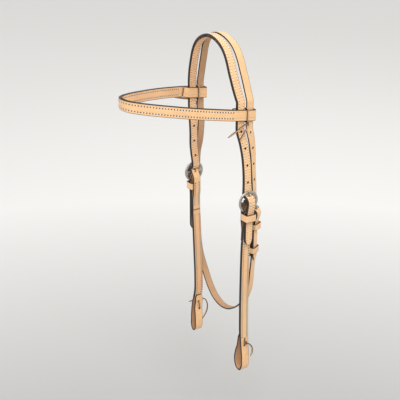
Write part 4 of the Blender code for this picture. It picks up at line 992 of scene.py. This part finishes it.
def strap(name, route, width, thickness, across, start=0.0, end=None, offset=0.0, start_tip=(), end_tip=(),
          profile=None, seamed=0.0, grain=-1, finishes=("waxed_grain", "raw_flesh")):
    """A leather strap along a route, with rounded, dyed edges and rounded ends."""
    end = route.length if end is None else end
    extra = [start + share * TIP_LENGTH for share, _ in start_tip]
    extra += [end - share * TIP_LENGTH for share, _ in end_tip]
    extra += [start + row[0] for row in END_ROWS[1:]] + [end - row[0] for row in END_ROWS[1:]]
    section, spans = strap_section(width, thickness, seamed)
    ends = np.array(END_ROWS)
    frames = []
    for distance in route.stations(start, end, extra, VIEW_STEP, VIEW_TURN):
        point, side, inward = frame_at(route, distance, across)
        share = width_share(distance, start, end, start_tip, end_tip)
        if profile:
            share *= profile(distance)
        from_end = min(distance - start, end - distance)
        thick = np.interp(from_end, ends[:, 0], ends[:, 1])
        dye = np.interp(from_end, ends[:, 0], ends[:, 2])
        frames.append((point, side, inward, share, thick, dye))
    return sweep(name, frames, section, spans, grain, finishes, offset=offset)


def punched(target, route, distances, across, radius, reach):
    """Cuts round holes through a strap, with walls painted near black as painted shade inside the holes."""
    points = []
    faces = []
    for distance in distances:
        point, side, inward = frame_at(route, distance, across)
        along = np.cross(side, inward)
        faces += tube_faces(len(points), 2, HOLE_SIDES)
        for level in (-reach, reach):
            points += circle(point + inward * level, radius * side, radius * along, HOLE_SIDES)
    # The cutter's walls carry the painted hole shade and full edge dye onto the holes
    cutter = mesh_object(target.name + "_holes", points, faces, [0] * len(faces), [1.0] * len(points),
                         ("punched_edge",))
    cut(target, cutter, "DIFFERENCE")


def cut(target, operand, operation):
    """Applies a Boolean with an object that is then removed."""
    normal_side(operand)
    step = target.modifiers.new(operation.title(), "BOOLEAN")
    step.operation = operation
    step.object = operand
    step.material_mode = "TRANSFER"
    bpy.context.view_layer.update()
    graph = bpy.context.evaluated_depsgraph_get()
    made = bpy.data.meshes.new_from_object(target.evaluated_get(graph))
    target.modifiers.clear()
    target.data = made
    bpy.data.objects.remove(operand)


def normal_side(thing):
    """Turns an object's faces outward."""
    solid = bmesh.new()
    solid.from_mesh(thing.data)
    bmesh.ops.recalc_face_normals(solid, faces=solid.faces)
    solid.to_mesh(thing.data)
    solid.free()


def seam_rows(route, across, start, end, width, level, outer, inset_share=1.0, profile=None):
    """Where the stitches of both rows of a seam lie on one face: (from, to, out of the face)."""
    sizes = bpy.context.scene.headstall_sizes
    inset = sizes.seam_inset * inset_share
    count = int((end - start) / sizes.stitch_pitch)

    def half(distance):
        return width / 2 * (profile(distance) if profile else 1.0)

    rows = []
    for k in range(count):
        middle = start + (k + 0.5) * (end - start) / count
        for side in (-1, 1):
            ends = []
            for distance in (middle - sizes.stitch_length / 2, middle + sizes.stitch_length / 2):
                point, wide, inward = frame_at(route, distance, across)
                out = half(distance) - inset
                ends.append(point + wide * side * out + inward * level)
            if half(middle) > inset + sizes.thread_radius:
                rows.append((ends[0], ends[1], inward * outer))
    return rows


def stitching(name, rows, body, stitch_hole_shade_share):
    """Every stitch of a seam as a short arched thread, with a dark patch of painted shade for the stitch hole
    after it.
    """
    sizes = bpy.context.scene.headstall_sizes
    radius = sizes.thread_radius
    gap = sizes.stitch_pitch - sizes.stitch_length
    points = []
    faces = []
    kinds = []
    for near, far, out in rows:
        forward = unit(far - near)
        beside = unit(np.cross(forward, out))
        middle = far + forward * gap / 2
        stitch_hole_shade_wide = radius * STITCH_HOLE_SHADE_RADIUS_SHARE * stitch_hole_shade_share * beside
        stitch_hole_shade_long = gap * STITCH_HOLE_SHADE_LENGTH_SHARE * stitch_hole_shade_share * forward
        # A dark patch in full edge dye, standing for painted shade in the stitch hole between two stitches
        stitch_hole_shade = [circle(middle + out * level * radius, stitch_hole_shade_wide, stitch_hole_shade_long, THREAD_SIDES)
                for level in (-STITCH_HOLE_SHADE_RISE_SHARE, STITCH_HOLE_SHADE_RISE_SHARE)]
        thread = [circle(near + (far - near) * along + out * rise * radius, radius * beside, radius * out,
                         THREAD_SIDES) for along, rise in STITCH_SHARES]
        for kind, rings in ((1, stitch_hole_shade), (0, thread)):
            faces += tube_faces(len(points), len(rings), THREAD_SIDES)
            kinds += [kind] * (len(faces) - len(kinds))
            points += [point for ring in rings for point in ring]
    # The full dye on every point makes the grain-slot patches dark as painted shade
    made = mesh_object(name, points, faces, kinds, [1.0] * len(points), ("waxed_thread", "waxed_grain"))
    normal_side(made)
    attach(made, body)


def dressed(piece, body, node):
    """Hands a finished piece to its body in place of its solid."""
    normal_side(piece)
    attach(piece, body)
    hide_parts(node)


class HEADSTALL_OT_crown(bpy.types.Operator):
    """The crown strap with its lining, their holes and their seam."""
    bl_idname = "headstall.crown"
    bl_label = "Crown and Billets"

    def execute(self, context):
        near_points = leg_points(NEAR, BUCKLES["near"])
        far_points = leg_points(FAR, BUCKLES["far"])
        over = arch_points(CROWN_RISE, CROWN_POLL_Y, CROWN_Y, CROWN_SWAY_POWER, LEG_SPREAD)
        route = Route(near_points + over + far_points[::-1])
        pierced = on_circle(BILLET_RADIUS, BILLET_HOLE_ANGLE)
        holes = []
        for side in (NEAR, FAR):
            first = route.nearest(BUCKLES[side["name"]].point(*pierced))
            for k in range(-side["holes_below"], side["holes_above"] + 1):
                holes.append(first + side["sign"] * k * HOLE_PITCH)
        layers = (("crown_leather", STRAP_THICKNESS, -STRAP_OFFSET, "waxed_grain", "crown_strap", "leather"),
                  ("crown_lining_leather", LINING_THICKNESS, LINING_OFFSET, "raw_flesh", "crown_lining",
                   "inner_leather"))
        for name, thickness, offset, outer_finish, node, slot in layers:
            layer = strap(name, route, STRAP_WIDTH, thickness, Y_AXIS, offset=offset, start_tip=TIP_SHARES,
                          end_tip=TIP_SHARES, finishes=(outer_finish, "raw_flesh"))
            punched(layer, route, holes, Y_AXIS, HOLE_RADIUS * PUNCH_SHARE, STACK)
            dressed(layer, "headstall", node)

        def pointed(distance):
            return width_share(distance, 0.0, route.length, TIP_SHARES, TIP_SHARES)

        rows = []
        for level, outer in ((-STRAP_OFFSET - STRAP_THICKNESS / 2, -1),
                             (LINING_OFFSET + LINING_THICKNESS / 2, 1)):
            rows += seam_rows(route, Y_AXIS, SEAM_CLEAR, route.length - SEAM_CLEAR, STRAP_WIDTH, level, outer,
                              profile=pointed)
        stitching("crown_stitching", rows, "headstall", CROWN_STITCH_SHADE_SHARE)
        return {"FINISHED"}


class HEADSTALL_OT_throatlatch(bpy.types.Operator):
    """The throatlatch, over the poll, under the jaw and folded round its buckle, with its holes and seam."""
    bl_idname = "headstall.throatlatch"
    bl_label = "Throatlatch"

    def execute(self, context):
        points = throat_billet_points()
        for drop in reversed(STRAIGHT_ENDS):
            points.append((CROWN_SIDE, THROAT_Y, -drop))
        points += arch_points(CROWN_RISE + THROAT_POLL_RISE, THROAT_POLL_Y, THROAT_Y, THROAT_SWAY_POWER,
                              CROWN_SIDE)
        for drop in STRAIGHT_ENDS:
            points.append((-CROWN_SIDE, THROAT_Y, -drop))
        points += [(x * LEG_SPREAD, y * THROAT_BACK, -z * THROAT_DEPTH) for x, y, z in THROAT_SHARES]
        clear = rim_clear(THROAT_RIM_RADIUS, THROAT_RIM_WIDTH, THROAT_WIDTH)
        fold = fold_points(THROAT_FOLD_RADIUS, -THROAT_BEHIND, THROAT_INNER, THROAT_FOLD_LENGTH, clear)
        points.append(THROAT_BUCKLE.point(-THROAT_BEHIND, -THROAT_FOLD_LENGTH * THROAT_RISE_SHARE))
        points += [THROAT_BUCKLE.point(outward, up) for outward, up in fold]
        route = Route(points)
        across = throat_twist(route)
        made = strap("throatlatch_leather", route, THROAT_WIDTH, THROAT_THICKNESS, across,
                     start_tip=TIP_SHARES, finishes=("waxed_grain", "worn_flesh"))
        first = route.nearest(THROAT_BUCKLE.point(*on_circle(THROAT_BILLET_RADIUS, BILLET_HOLE_ANGLE)))
        holes = [first + k * THROAT_HOLE_PITCH for k in range(THROAT_HOLES)]
        punched(made, route, holes, across, HOLE_RADIUS * PUNCH_SHARE, THROAT_THICKNESS)
        slotted(made, THROAT_BUCKLE, THROAT_TONGUE_RADIUS + BAR_CLEARANCE,
                THROAT_FOLD_RADIUS + THROAT_THICKNESS / 2 + SEAM_GAP / 2)
        dressed(made, "headstall", "throatlatch_strap")
        turn = route.length - THROAT_FOLD_LENGTH
        reach = THROAT_FOLD_LENGTH - THROAT_RIM_OUTER - SEAM_CLEAR
        rows = []
        for start in (turn + THROAT_RIM_OUTER,
                      turn - math.pi * THROAT_FOLD_RADIUS - THROAT_RIM_OUTER - reach):
            rows += seam_rows(route, across, start, start + reach, THROAT_WIDTH, -THROAT_THICKNESS / 2, -1)
        stitching("throatlatch_stitching", rows, "headstall", CROWN_STITCH_SHADE_SHARE)
        return {"FINISHED"}


def slotted(target, buckle, half, reach):
    """Cuts the slot that a tongue stands in through the fold round its bar."""
    corners = [(x, y, z) for x in (-reach, reach) for y in (-half, half) for z in (-reach, reach)]
    turn = Matrix.Translation(buckle.place) @ Matrix.Rotation(buckle.turn, 4, "Z")
    points = [turn @ Vector(corner) for corner in corners]
    faces = [(0, 1, 3, 2), (4, 6, 7, 5), (0, 4, 5, 1), (2, 3, 7, 6), (0, 2, 6, 4), (1, 5, 7, 3)]
    # The slot's walls carry the painted hole shade and full edge dye
    cutter = mesh_object(target.name + "_slot", points, faces, [0] * 6, [1.0] * 8, ("punched_edge",))
    cut(target, cutter, "DIFFERENCE")


class HEADSTALL_OT_browband(bpy.types.Operator):
    """The browband: its outer strip, folded back at both ends, its lining and their seam."""
    bl_idname = "headstall.browband"
    bl_label = "Browband"

    def execute(self, context):
        half_line = band_half()
        seam = POCKET_FRONT - BAND_SEAM_LENGTH
        whole = [(-x, y) for x, y in half_line[:0:-1]] + half_line
        middle = [band_place(x, y) for x, y in whole]
        outer = Route(middle)
        touches = []
        ends = []
        for sign in (-1, 1):
            touch = outer.nearest(band_place(sign * POCKET_OUT, seam))
            point, _, inward = frame_at(outer, touch, Z_AXIS)
            touches.append(touch)
            ends.append((point - inward * BAND_SEAM_OFFSET,
                         band_place(sign * POCKET_IN, POCKET_FRONT - BAND_THICKNESS / 4)))
        route = Route([ends[0][0], ends[0][1]] + middle + [ends[1][1], ends[1][0]])
        strip = strap("browband_leather", route, BAND_WIDTH, BAND_THICKNESS, Z_AXIS, seamed=BAND_INSET_SHARE,
                      grain=1)
        dressed(strip, "browband", "browband_strap")
        start = touches[0] + SEAM_GAP + BAND_THICKNESS
        end = touches[1] - SEAM_GAP - BAND_THICKNESS
        lining = strap("browband_lining_leather", outer, BAND_WIDTH, BAND_LINING_THICKNESS, Z_AXIS, start,
                       end, -BAND_LINING_OFFSET, seamed=BAND_INSET_SHARE, finishes=("raw_flesh", "raw_flesh"))
        dressed(lining, "browband", "browband_lining")
        rows = seam_rows(outer, Z_AXIS, touches[0], touches[1], BAND_WIDTH, BAND_THICKNESS / 2, 1,
                         BAND_INSET_SHARE)
        rows += seam_rows(outer, Z_AXIS, start + SEAM_CLEAR, end - SEAM_CLEAR, BAND_WIDTH,
                          -BAND_LINING_OFFSET - BAND_LINING_THICKNESS / 2, -1, BAND_INSET_SHARE)
        stitching("browband_stitching", rows, "browband", BAND_STITCH_SHADE_SHARE)
        return {"FINISHED"}


class HEADSTALL_OT_cheeks(bpy.types.Operator):
    """The two cheek straps, folded at the buckle and at the bit, with their holes and seams."""
    bl_idname = "headstall.cheeks"
    bl_label = "Cheek Straps"

    def execute(self, context):
        for side in (NEAR, FAR):
            buckle = BUCKLES[side["name"]]
            route = Route(cheek_points(side, buckle))
            bar = route.nearest(buckle.point(0, FOLD_RADIUS))
            widen = [CHEEK_FOLD_LENGTH * share for share in WIDEN_SHARES]

            def profile(distance, bar=bar, widen=widen):
                return np.interp(abs(distance - bar), widen, (STRAP_WIDTH / CHEEK_WIDTH, 1.0))

            grain = side["sign"]
            made = strap("cheek_leather_" + side["name"], route, CHEEK_WIDTH, CHEEK_THICKNESS, Y_AXIS,
                         end_tip=ROUND_TIP_SHARES, profile=profile, grain=grain,
                         finishes=("waxed_grain", "worn_flesh"))
            slotted(made, buckle, TONGUE_RADIUS + BAR_CLEARANCE, FOLD_OUTER + SEAM_GAP / 2)
            lace_holes(made, side, buckle)
            dressed(made, "headstall", "cheek_strap_" + side["name"])
            start = route.nearest(buckle.point(CHEEK_OUTER, -CHEEK_FOLD_LENGTH)) + SEAM_GAP
            end_drop = BIT_TIP_DROP - side["tip_rise"] + CHEEK_LINING_LAP
            end = route.nearest(buckle.point(CHEEK_OUTER, BUCKLE_DROP - end_drop))
            lining = strap("cheek_lining_leather_" + side["name"], route, CHEEK_WIDTH, LINING_THICKNESS,
                           Y_AXIS, start, end, -grain * CHEEK_LINING_OFFSET, profile=profile,
                           finishes=("raw_flesh", "raw_flesh"))
            dressed(lining, "headstall", "cheek_lining_" + side["name"])
            face = grain * CHEEK_THICKNESS / 2
            under = -grain * (CHEEK_LINING_OFFSET + LINING_THICKNESS / 2)
            turned = math.pi * FOLD_RADIUS / 2 + RIM_OUTER
            rows = []
            for seam_start, seam_end, level, outer in (
                    (SEAM_CLEAR, CHEEK_FOLD_LENGTH - RIM_OUTER, face, grain),
                    (bar + turned, end, face, grain),
                    (start + SEAM_CLEAR, end - SEAM_CLEAR, under, -grain)):
                rows += seam_rows(route, Y_AXIS, seam_start, seam_end, CHEEK_WIDTH, level, outer,
                                  profile=profile)
            stitching("cheek_stitching_" + side["name"], rows, "headstall", CHEEK_STITCH_SHADE_SHARE)
        return {"FINISHED"}


def lace_holes(target, side, buckle):
    """Cuts the two holes of the bit tie through both layers of a cheek."""
    out = buckle.point(CHEEK_OUTER, 0)[0]
    line = Route([(out, side["tie_y"], -drop) for drop in BIT_TIE_DROPS], smooth=False)
    punched(target, line, (0.0, line.length), Y_AXIS, LACE_HOLE_RADIUS, BIT_LOOP_DEPTH + CUT_OVERRUN)


class HEADSTALL_OT_buckles(bpy.types.Operator):
    """The three round buckles with their bars, and their tongues."""
    bl_idname = "headstall.buckles"
    bl_label = "Buckles"

    def execute(self, context):
        rows = [(buckle, "cheek_buckle_" + name, "cheek_tongue_" + name, "tongue_" + name, CHEEK_METAL)
                for name, buckle in BUCKLES.items()]
        rows.append((THROAT_BUCKLE, "throat_buckle", "throat_tongue", "tongue_throat", THROAT_METAL))
        for buckle, frame_node, tongue_node, tongue_body, metal in rows:
            frame_of(buckle, frame_node, *metal[:-1])
            tongue_of(buckle, tongue_node, tongue_body, *metal)
        return {"FINISHED"}


def tube(name, centres, radii, sides, finish, closed=False, up=Z_AXIS, dye=0.0):
    """A round tube along points, with a radius at each."""
    centres = np.asarray(centres, float)
    count = len(centres)
    before = np.roll(centres, 1, 0) if closed else np.vstack((centres[:1], centres[:-1]))
    after = np.roll(centres, -1, 0) if closed else np.vstack((centres[1:], centres[-1:]))
    points = []
    normal = up
    for k in range(count):
        along = unit(after[k] - before[k])
        normal = unit(normal - (normal @ along) * along)
        points += circle(centres[k], radii[k] * np.cross(along, normal), radii[k] * normal, sides)
    faces = tube_faces(0, count, sides, closed)
    return mesh_object(name, points, faces, [0] * len(faces), [dye] * len(points), (finish,))


def frame_of(buckle, node, radius, width, thickness, bar_radius):
    """A round rim with a rounded, flattened section and a bar across its middle."""
    points = []
    for angle in np.linspace(0, 2 * math.pi, RIM_STEPS, endpoint=False):
        spoke = buckle.along * math.cos(angle) + Z_AXIS * math.sin(angle)
        for turn in np.linspace(0, 2 * math.pi, RIM_SIDES, endpoint=False):
            away, out = (math.copysign(abs(share) ** RIM_POWER, share) * size / 2
                         for share, size in ((math.cos(turn), width), (math.sin(turn), thickness)))
            points.append(buckle.place + spoke * (radius + away) + buckle.outward * out)
    faces = tube_faces(0, RIM_STEPS, RIM_SIDES, closed=True)
    rim = mesh_object(node + "_plating", points, faces, [0] * len(faces), None, ("dull_plating",))
    normal_side(rim)
    centres = [buckle.place + buckle.along * share * radius for share in np.linspace(-1, 1, BAR_STEPS)]
    bar = tube(node + "_bar", centres, [bar_radius] * BAR_STEPS, BAR_SIDES, "dull_plating")
    cut(rim, bar, "UNION")
    dressed(rim, "headstall", node)


def tongue_of(buckle, node, body, rim_radius, rim_width, rim_thickness, bar_radius, tongue_radius):
    """A tongue: a loop round the bar and a tapering stem that rests on the rim."""
    ring = bar_radius + BAR_CLEARANCE + tongue_radius
    rest = rim_thickness / 2 + BAR_CLEARANCE + tongue_radius
    knots = arc(ring, *LOOP_ANGLES, LOOP_STEPS)
    for out, up in TONGUE_SHARES:
        knots.append((rest * out, ring + (rim_radius - ring) * up))
    knots.append((rest, rim_radius + rim_width * TONGUE_TIP_SHARE))
    line = Route([buckle.point(outward, up) for outward, up in knots])
    shares = np.linspace(0, 1, TONGUE_STEPS)
    centres = [line.at(share * line.length) for share in shares]
    radii = tongue_radius * np.interp(shares, TAPER_PLACES, TAPER_SHARES)
    made = tube(node + "_plating", centres, radii, TONGUE_SIDES, "dull_plating", up=buckle.along)
    dressed(made, body, node)


class HEADSTALL_OT_keepers(bpy.types.Operator):
    """The four leather keepers."""
    bl_idname = "headstall.keepers"
    bl_label = "Keepers"

    def execute(self, context):
        for side in (NEAR, FAR):
            name = side["name"]
            keeper_of(BUCKLES[name], "cheek_keeper_" + name, "headstall",
                      CHEEK_OUTER - CHEEK_THICKNESS / 2, BEHIND_RIM + STACK / 2, STRAP_WIDTH / 2,
                      -RIM_OUTER - KEEPER_RIM_GAP, KEEPER_HEIGHT)
        low = THROAT_INNER - THROAT_THICKNESS / 2
        top = -THROAT_RIM_OUTER - THROAT_KEEPER_GAP
        for name, outer, drop in (("upper", THROAT_BEHIND, 0.0),
                                  ("lower", THROAT_FLUSH, THROAT_KEEPER_SPACING)):
            keeper_of(THROAT_BUCKLE, "throat_keeper_" + name, "keeper_throat_" + name, low,
                      outer + THROAT_THICKNESS / 2, THROAT_WIDTH / 2, top - drop, THROAT_KEEPER_HEIGHT)
        return {"FINISHED"}


def keeper_of(buckle, node, body, low, high, half_width, top, height):
    """A leather loop round its straps, with dyed rims."""
    middle = KEEPER_CLEARANCE + KEEPER_THICKNESS / 2
    outline = rounded_outline((low - middle, -half_width - middle), (high + middle, half_width + middle),
                              KEEPER_CORNER + KEEPER_THICKNESS / 2, KEEPER_CORNER_STEPS)
    ring = []
    for k, (outward, back) in enumerate(outline):
        after = outline[(k + 1) % len(outline)]
        steps = max(1, int(math.dist((outward, back), after) / VIEW_STEP))
        for share in np.arange(steps) / steps:
            level = buckle.point(outward + (after[0] - outward) * share, top - height / 2)
            ring.append(level + buckle.along * (back + (after[1] - back) * share))
    section, spans = strap_section(height, KEEPER_THICKNESS, 0.0)
    frames = []
    for k, point in enumerate(ring):
        along = unit(ring[(k + 1) % len(ring)] - ring[k - 1])
        frames.append((point, Z_AXIS, np.cross(along, Z_AXIS), 1.0, 1.0, 0.0))
    made = sweep(node + "_leather", frames, section, spans, 1, ("waxed_grain", "raw_flesh"), closed=True)
    dressed(made, body, node)


class HEADSTALL_OT_laces(bpy.types.Operator):
    """The laces that tie the browband and close the bit loops, with their knots and loose ends."""
    bl_idname = "headstall.laces"
    bl_label = "Laces"

    def execute(self, context):
        for side in (NEAR, FAR):
            band_tie(side)
            bit_tie(side)
        return {"FINISHED"}


def lace_piece(name, route, width, across, tip=()):
    """A stretch of lace, whose edges take the straps' dark edge dye as painted shade along its outline."""
    return strap(name, route, width, LACE_THICKNESS, across, end_tip=tip,
                 finishes=("oiled_lace", "oiled_lace"))


def eased(points, reach):
    """Points close together along a line, with its corners rounded."""
    line = Route(points, smooth=False)
    places = np.arange(0, line.length, reach / EASE_STEPS)
    return [np.mean([line.at(place + share * reach) for share in EASE_SHARES], axis=0) for place in places]


def tied(node, body, loop, place, lengths, tails):
    """A lace's ring, its knot as a lace crossed over itself, and its loose ends, as one piece."""
    made = lace_piece(node + "_leather", Route(eased(loop, EASE), smooth=False), LACE_WIDTH, Y_AXIS)
    normal_side(made)
    knot = []
    for turn in np.linspace(0, 2 * math.pi, KNOT_STEPS, endpoint=False):
        curl = (-math.sin(3 * turn), math.sin(turn) + 2 * math.sin(2 * turn),
                math.cos(turn) - 2 * math.cos(2 * turn))
        knot.append(np.array(place) + np.array(curl) * np.array(lengths) * KNOT_SHARES)
    # The knot's partial dye is painted shade where the lace crosses itself
    parts = [tube(node + "_knot", knot, [LACE_THICKNESS * KNOT_LACE_SHARE] * KNOT_STEPS, KNOT_SIDES,
                  "oiled_lace", closed=True, dye=KNOT_SHADE_SHARE)]
    for k, (points, across) in enumerate(tails):
        route = Route([place] + [np.add(place, point) for point in points])
        parts.append(lace_piece(f"{node}_tail_{k + 1}", route, LACE_END_WIDTH, across, TIP_SHARES))
    for part in parts:
        normal_side(part)
    join(made, parts)
    dressed(made, body, node)


def join(target, others):
    """Puts several meshes into one object."""
    with bpy.context.temp_override(active_object=target, selected_editable_objects=[target] + others,
                                   object=target, selected_objects=[target] + others):
        bpy.ops.object.join()


def band_tie(side):
    """The lace round a folded end of the browband, between the two straps."""
    sign = side["sign"]
    middle = band_height(sign * (POCKET_OUT + POCKET_IN) / 2, LACE_Y)
    half_band = BAND_WIDTH / 2 * math.hypot(1, BAND_SLOPE)
    half_band += BAND_SLOPE * LACE_WIDTH + BAND_TILT * POCKET_RADIUS
    reach = half_band + LACE_LIFT
    out = POCKET_OUT + BAND_THICKNESS / 2 + LACE_LIFT
    inside = POCKET_IN - BAND_THICKNESS / 2 - LACE_LIFT
    knot_x = POCKET_OUT - BAND_THICKNESS / 2 + KNOT_RADIUS
    low = middle - reach
    high = middle + reach
    outline = [(knot_x + LACE_HALF, low), (out, low + LACE_HALF), (out, middle), (out, high - LACE_HALF),
               (out - LACE_HALF, high), (inside + LACE_HALF, high), (inside, high - LACE_HALF),
               (inside, middle), (inside, low + LACE_HALF), (inside + LACE_HALF, low),
               (knot_x - LACE_HALF, low)]
    loop = [(sign * x, LACE_Y, z) for x, z in outline]
    place = (sign * knot_x, LACE_Y, low - KNOT_RADIUS + LACE_HALF)
    tied("browband_tie_" + side["name"], "browband", loop, place, (KNOT_RADIUS, KNOT_RADIUS, KNOT_RADIUS),
         tails_of(side, BAND_TAIL_SHARES, BAND_WIDTH))


def bit_tie(side):
    """The lace through both layers of the cheek that closes the bit loop."""
    buckle = BUCKLES[side["name"]]
    cheek = Route(cheek_points(side, buckle))
    lowest = int(np.argmin(cheek.points[:, 2]))
    rising = cheek.points[lowest:]
    clearance = CHEEK_THICKNESS / 2 + SEAM_GAP + LACE_THICKNESS
    inside, inside_low = [np.interp(-drop, rising[:, 2], rising[:, 0] * side["sign"]) - BUCKLE_SPREAD
                          - clearance for drop in BIT_TIE_DROPS]
    high, low = [-drop for drop in BIT_TIE_DROPS]
    out = CHEEK_OUTER + CHEEK_THICKNESS / 2 + LACE_LIFT
    middle = (high + low) / 2
    outline = [(out, middle + LACE_HALF), (out, high - LACE_HALF), (out - LACE_HALF, high),
               (inside + LACE_HALF, high), (inside, high - LACE_HALF), (inside_low, low + LACE_HALF),
               (inside_low + LACE_HALF, low), (out - LACE_HALF, low), (out, low + LACE_HALF),
               (out, middle - LACE_HALF)]
    loop = []
    for outward, height in outline:
        place = buckle.point(outward, height + BUCKLE_DROP)
        place[1] = side["tie_y"]
        loop.append(place)
    place = buckle.point(CHEEK_OUTER + CHEEK_THICKNESS / 2 + SEAM_GAP + KNOT_DEPTH, middle + BUCKLE_DROP)
    place[1] = side["tie_y"]
    tied("bit_tie_" + side["name"], "headstall", loop, place, (KNOT_DEPTH, KNOT_RADIUS, KNOT_RADIUS),
         tails_of(side, BIT_TAIL_SHARES, BIT_TIE_PITCH))


# The photograph's view, with its angles in degrees
CAMERA_TARGET = Vector((0.0, -0.023, -0.240))
CAMERA_TURN = 57
CAMERA_RISE = 22
CAMERA_DISTANCE = 1.2364
CAMERA_LENS = 74.88
FLOOR_HEIGHT = -0.640
FLOOR_HALF = 30.0
# Painted shade darkens the floor round a place towards the camera, and painted light makes it a little paler
# than its own colour far behind: the place, the distances from it over which each change happens, and the
# shares of the floor's colour there
FLOOR_SHADE_CENTRE = (0.96, -0.65, 0.0)
FLOOR_SHADE_REACH = (1.23, 2.14)
FLOOR_LIGHT_REACH = (2.4, 4.0)
FLOOR_SHADE_SHARE = 0.55
FLOOR_LIGHT_SHARE = 1.05
FLOOR_ROUGHNESS = 0.9
WORLD_COLOUR = (1.0, 0.995, 0.985, 1)
WORLD_STRENGTH = 0.72
# Rows of (name, share of the main light, azimuth, height, distance, width) of the lamps
LAMPS = (("key", 1.0, 72, 49, 2.0, 1.4), ("fill", 0.45, 5, 30, 2.2, 1.6), ("back", 0.35, 215, 50, 2.2, 1.4))


class HEADSTALL_OT_stage(bpy.types.Operator):
    """The pale floor, the soft lamps and the camera at the photograph's angle."""
    bl_idname = "headstall.stage"
    bl_label = "Studio"

    def execute(self, context):
        scene = context.scene
        finish = scene.headstall_finish
        scene.view_settings.view_transform = "Standard"
        bpy.ops.mesh.primitive_plane_add(size=2 * FLOOR_HALF, location=(0, 0, FLOOR_HEIGHT))
        floor = context.object
        floor.name = "studio_floor"
        made, tree, shader = blank_material("pale_floor")
        place = wire(tree, "ShaderNodeTexCoord").outputs["Object"]
        # Painted shade round a place near the camera and painted light far behind, in the floor's colour
        away = wire(tree, "ShaderNodeVectorMath", {0: place, 1: FLOOR_SHADE_CENTRE}, operation="DISTANCE")
        away = away.outputs["Value"]
        base = toned(finish.backdrop, FLOOR_SHADE_SHARE)
        for reach, share in ((FLOOR_SHADE_REACH, 1.0), (FLOOR_LIGHT_REACH, FLOOR_LIGHT_SHARE)):
            base = mixed(tree, ranged(tree, away, *reach, 0.0, 1.0), base, toned(finish.backdrop, share))
        tree.links.new(base, shader.inputs["Base Color"])
        shader.inputs["Roughness"].default_value = FLOOR_ROUGHNESS
        floor.data.materials.append(made)
        world = bpy.data.worlds.new("studio")
        world.use_nodes = True
        sky = world.node_tree.nodes["Background"]
        sky.inputs["Color"].default_value = WORLD_COLOUR
        sky.inputs["Strength"].default_value = WORLD_STRENGTH
        scene.world = world
        for name, share, turn, rise, distance, width in LAMPS:
            data = bpy.data.lights.new(name + "_light", "AREA")
            data.shape = "DISK"
            data.size = width
            data.energy = finish.light * share
            aimed(data, turn, rise, distance)
        data = bpy.data.cameras.new("camera")
        data.lens = CAMERA_LENS
        scene.camera = aimed(data, CAMERA_TURN, CAMERA_RISE, CAMERA_DISTANCE)
        return {"FINISHED"}


def aimed(data, azimuth, height, distance):
    """A lamp or camera turned to the target, at an azimuth from the front and a height, both in degrees."""
    turn = math.radians(azimuth)
    rise = math.radians(height)
    away = Vector((math.sin(turn) * math.cos(rise), -math.cos(turn) * math.cos(rise), math.sin(rise)))
    made = bpy.data.objects.new(data.name, data)
    made.location = CAMERA_TARGET + distance * away
    made.rotation_euler = (CAMERA_TARGET - made.location).to_track_quat("-Z", "Y").to_euler()
    bpy.context.scene.collection.objects.link(made)
    return made


class HEADSTALL_PT_panel(bpy.types.Panel):
    """The headstall's pieces, sizes and colours."""
    bl_label = "Western Headstall"
    bl_idname = "HEADSTALL_PT_panel"
    bl_space_type = "VIEW_3D"
    bl_region_type = "UI"
    bl_category = "Headstall"

    def draw(self, context):
        for settings in (context.scene.headstall_sizes, context.scene.headstall_finish):
            box = self.layout.box()
            for name in settings.bl_rna.properties.keys():
                if name not in ("rna_type", "name"):
                    box.prop(settings, name)
        for operator in OPERATORS:
            self.layout.operator(operator.bl_idname)


OPERATORS = (HEADSTALL_OT_stage, HEADSTALL_OT_crown, HEADSTALL_OT_throatlatch, HEADSTALL_OT_browband,
             HEADSTALL_OT_cheeks, HEADSTALL_OT_buckles, HEADSTALL_OT_keepers, HEADSTALL_OT_laces)
CLASSES = (HeadstallSizes, HeadstallFinish) + OPERATORS + (HEADSTALL_PT_panel,)


def register():
    for made in CLASSES:
        bpy.utils.register_class(made)
    bpy.types.Scene.headstall_sizes = bpy.props.PointerProperty(type=HeadstallSizes)
    bpy.types.Scene.headstall_finish = bpy.props.PointerProperty(type=HeadstallFinish)


def unregister():
    del bpy.types.Scene.headstall_finish
    del bpy.types.Scene.headstall_sizes
    for made in reversed(CLASSES):
        bpy.utils.unregister_class(made)


def main():
    register()
    for name in ("stage", "crown", "throatlatch", "browband", "cheeks", "buckles", "keepers", "laces"):
        getattr(bpy.ops.headstall, name)()


if __name__ == "__main__":
    main()
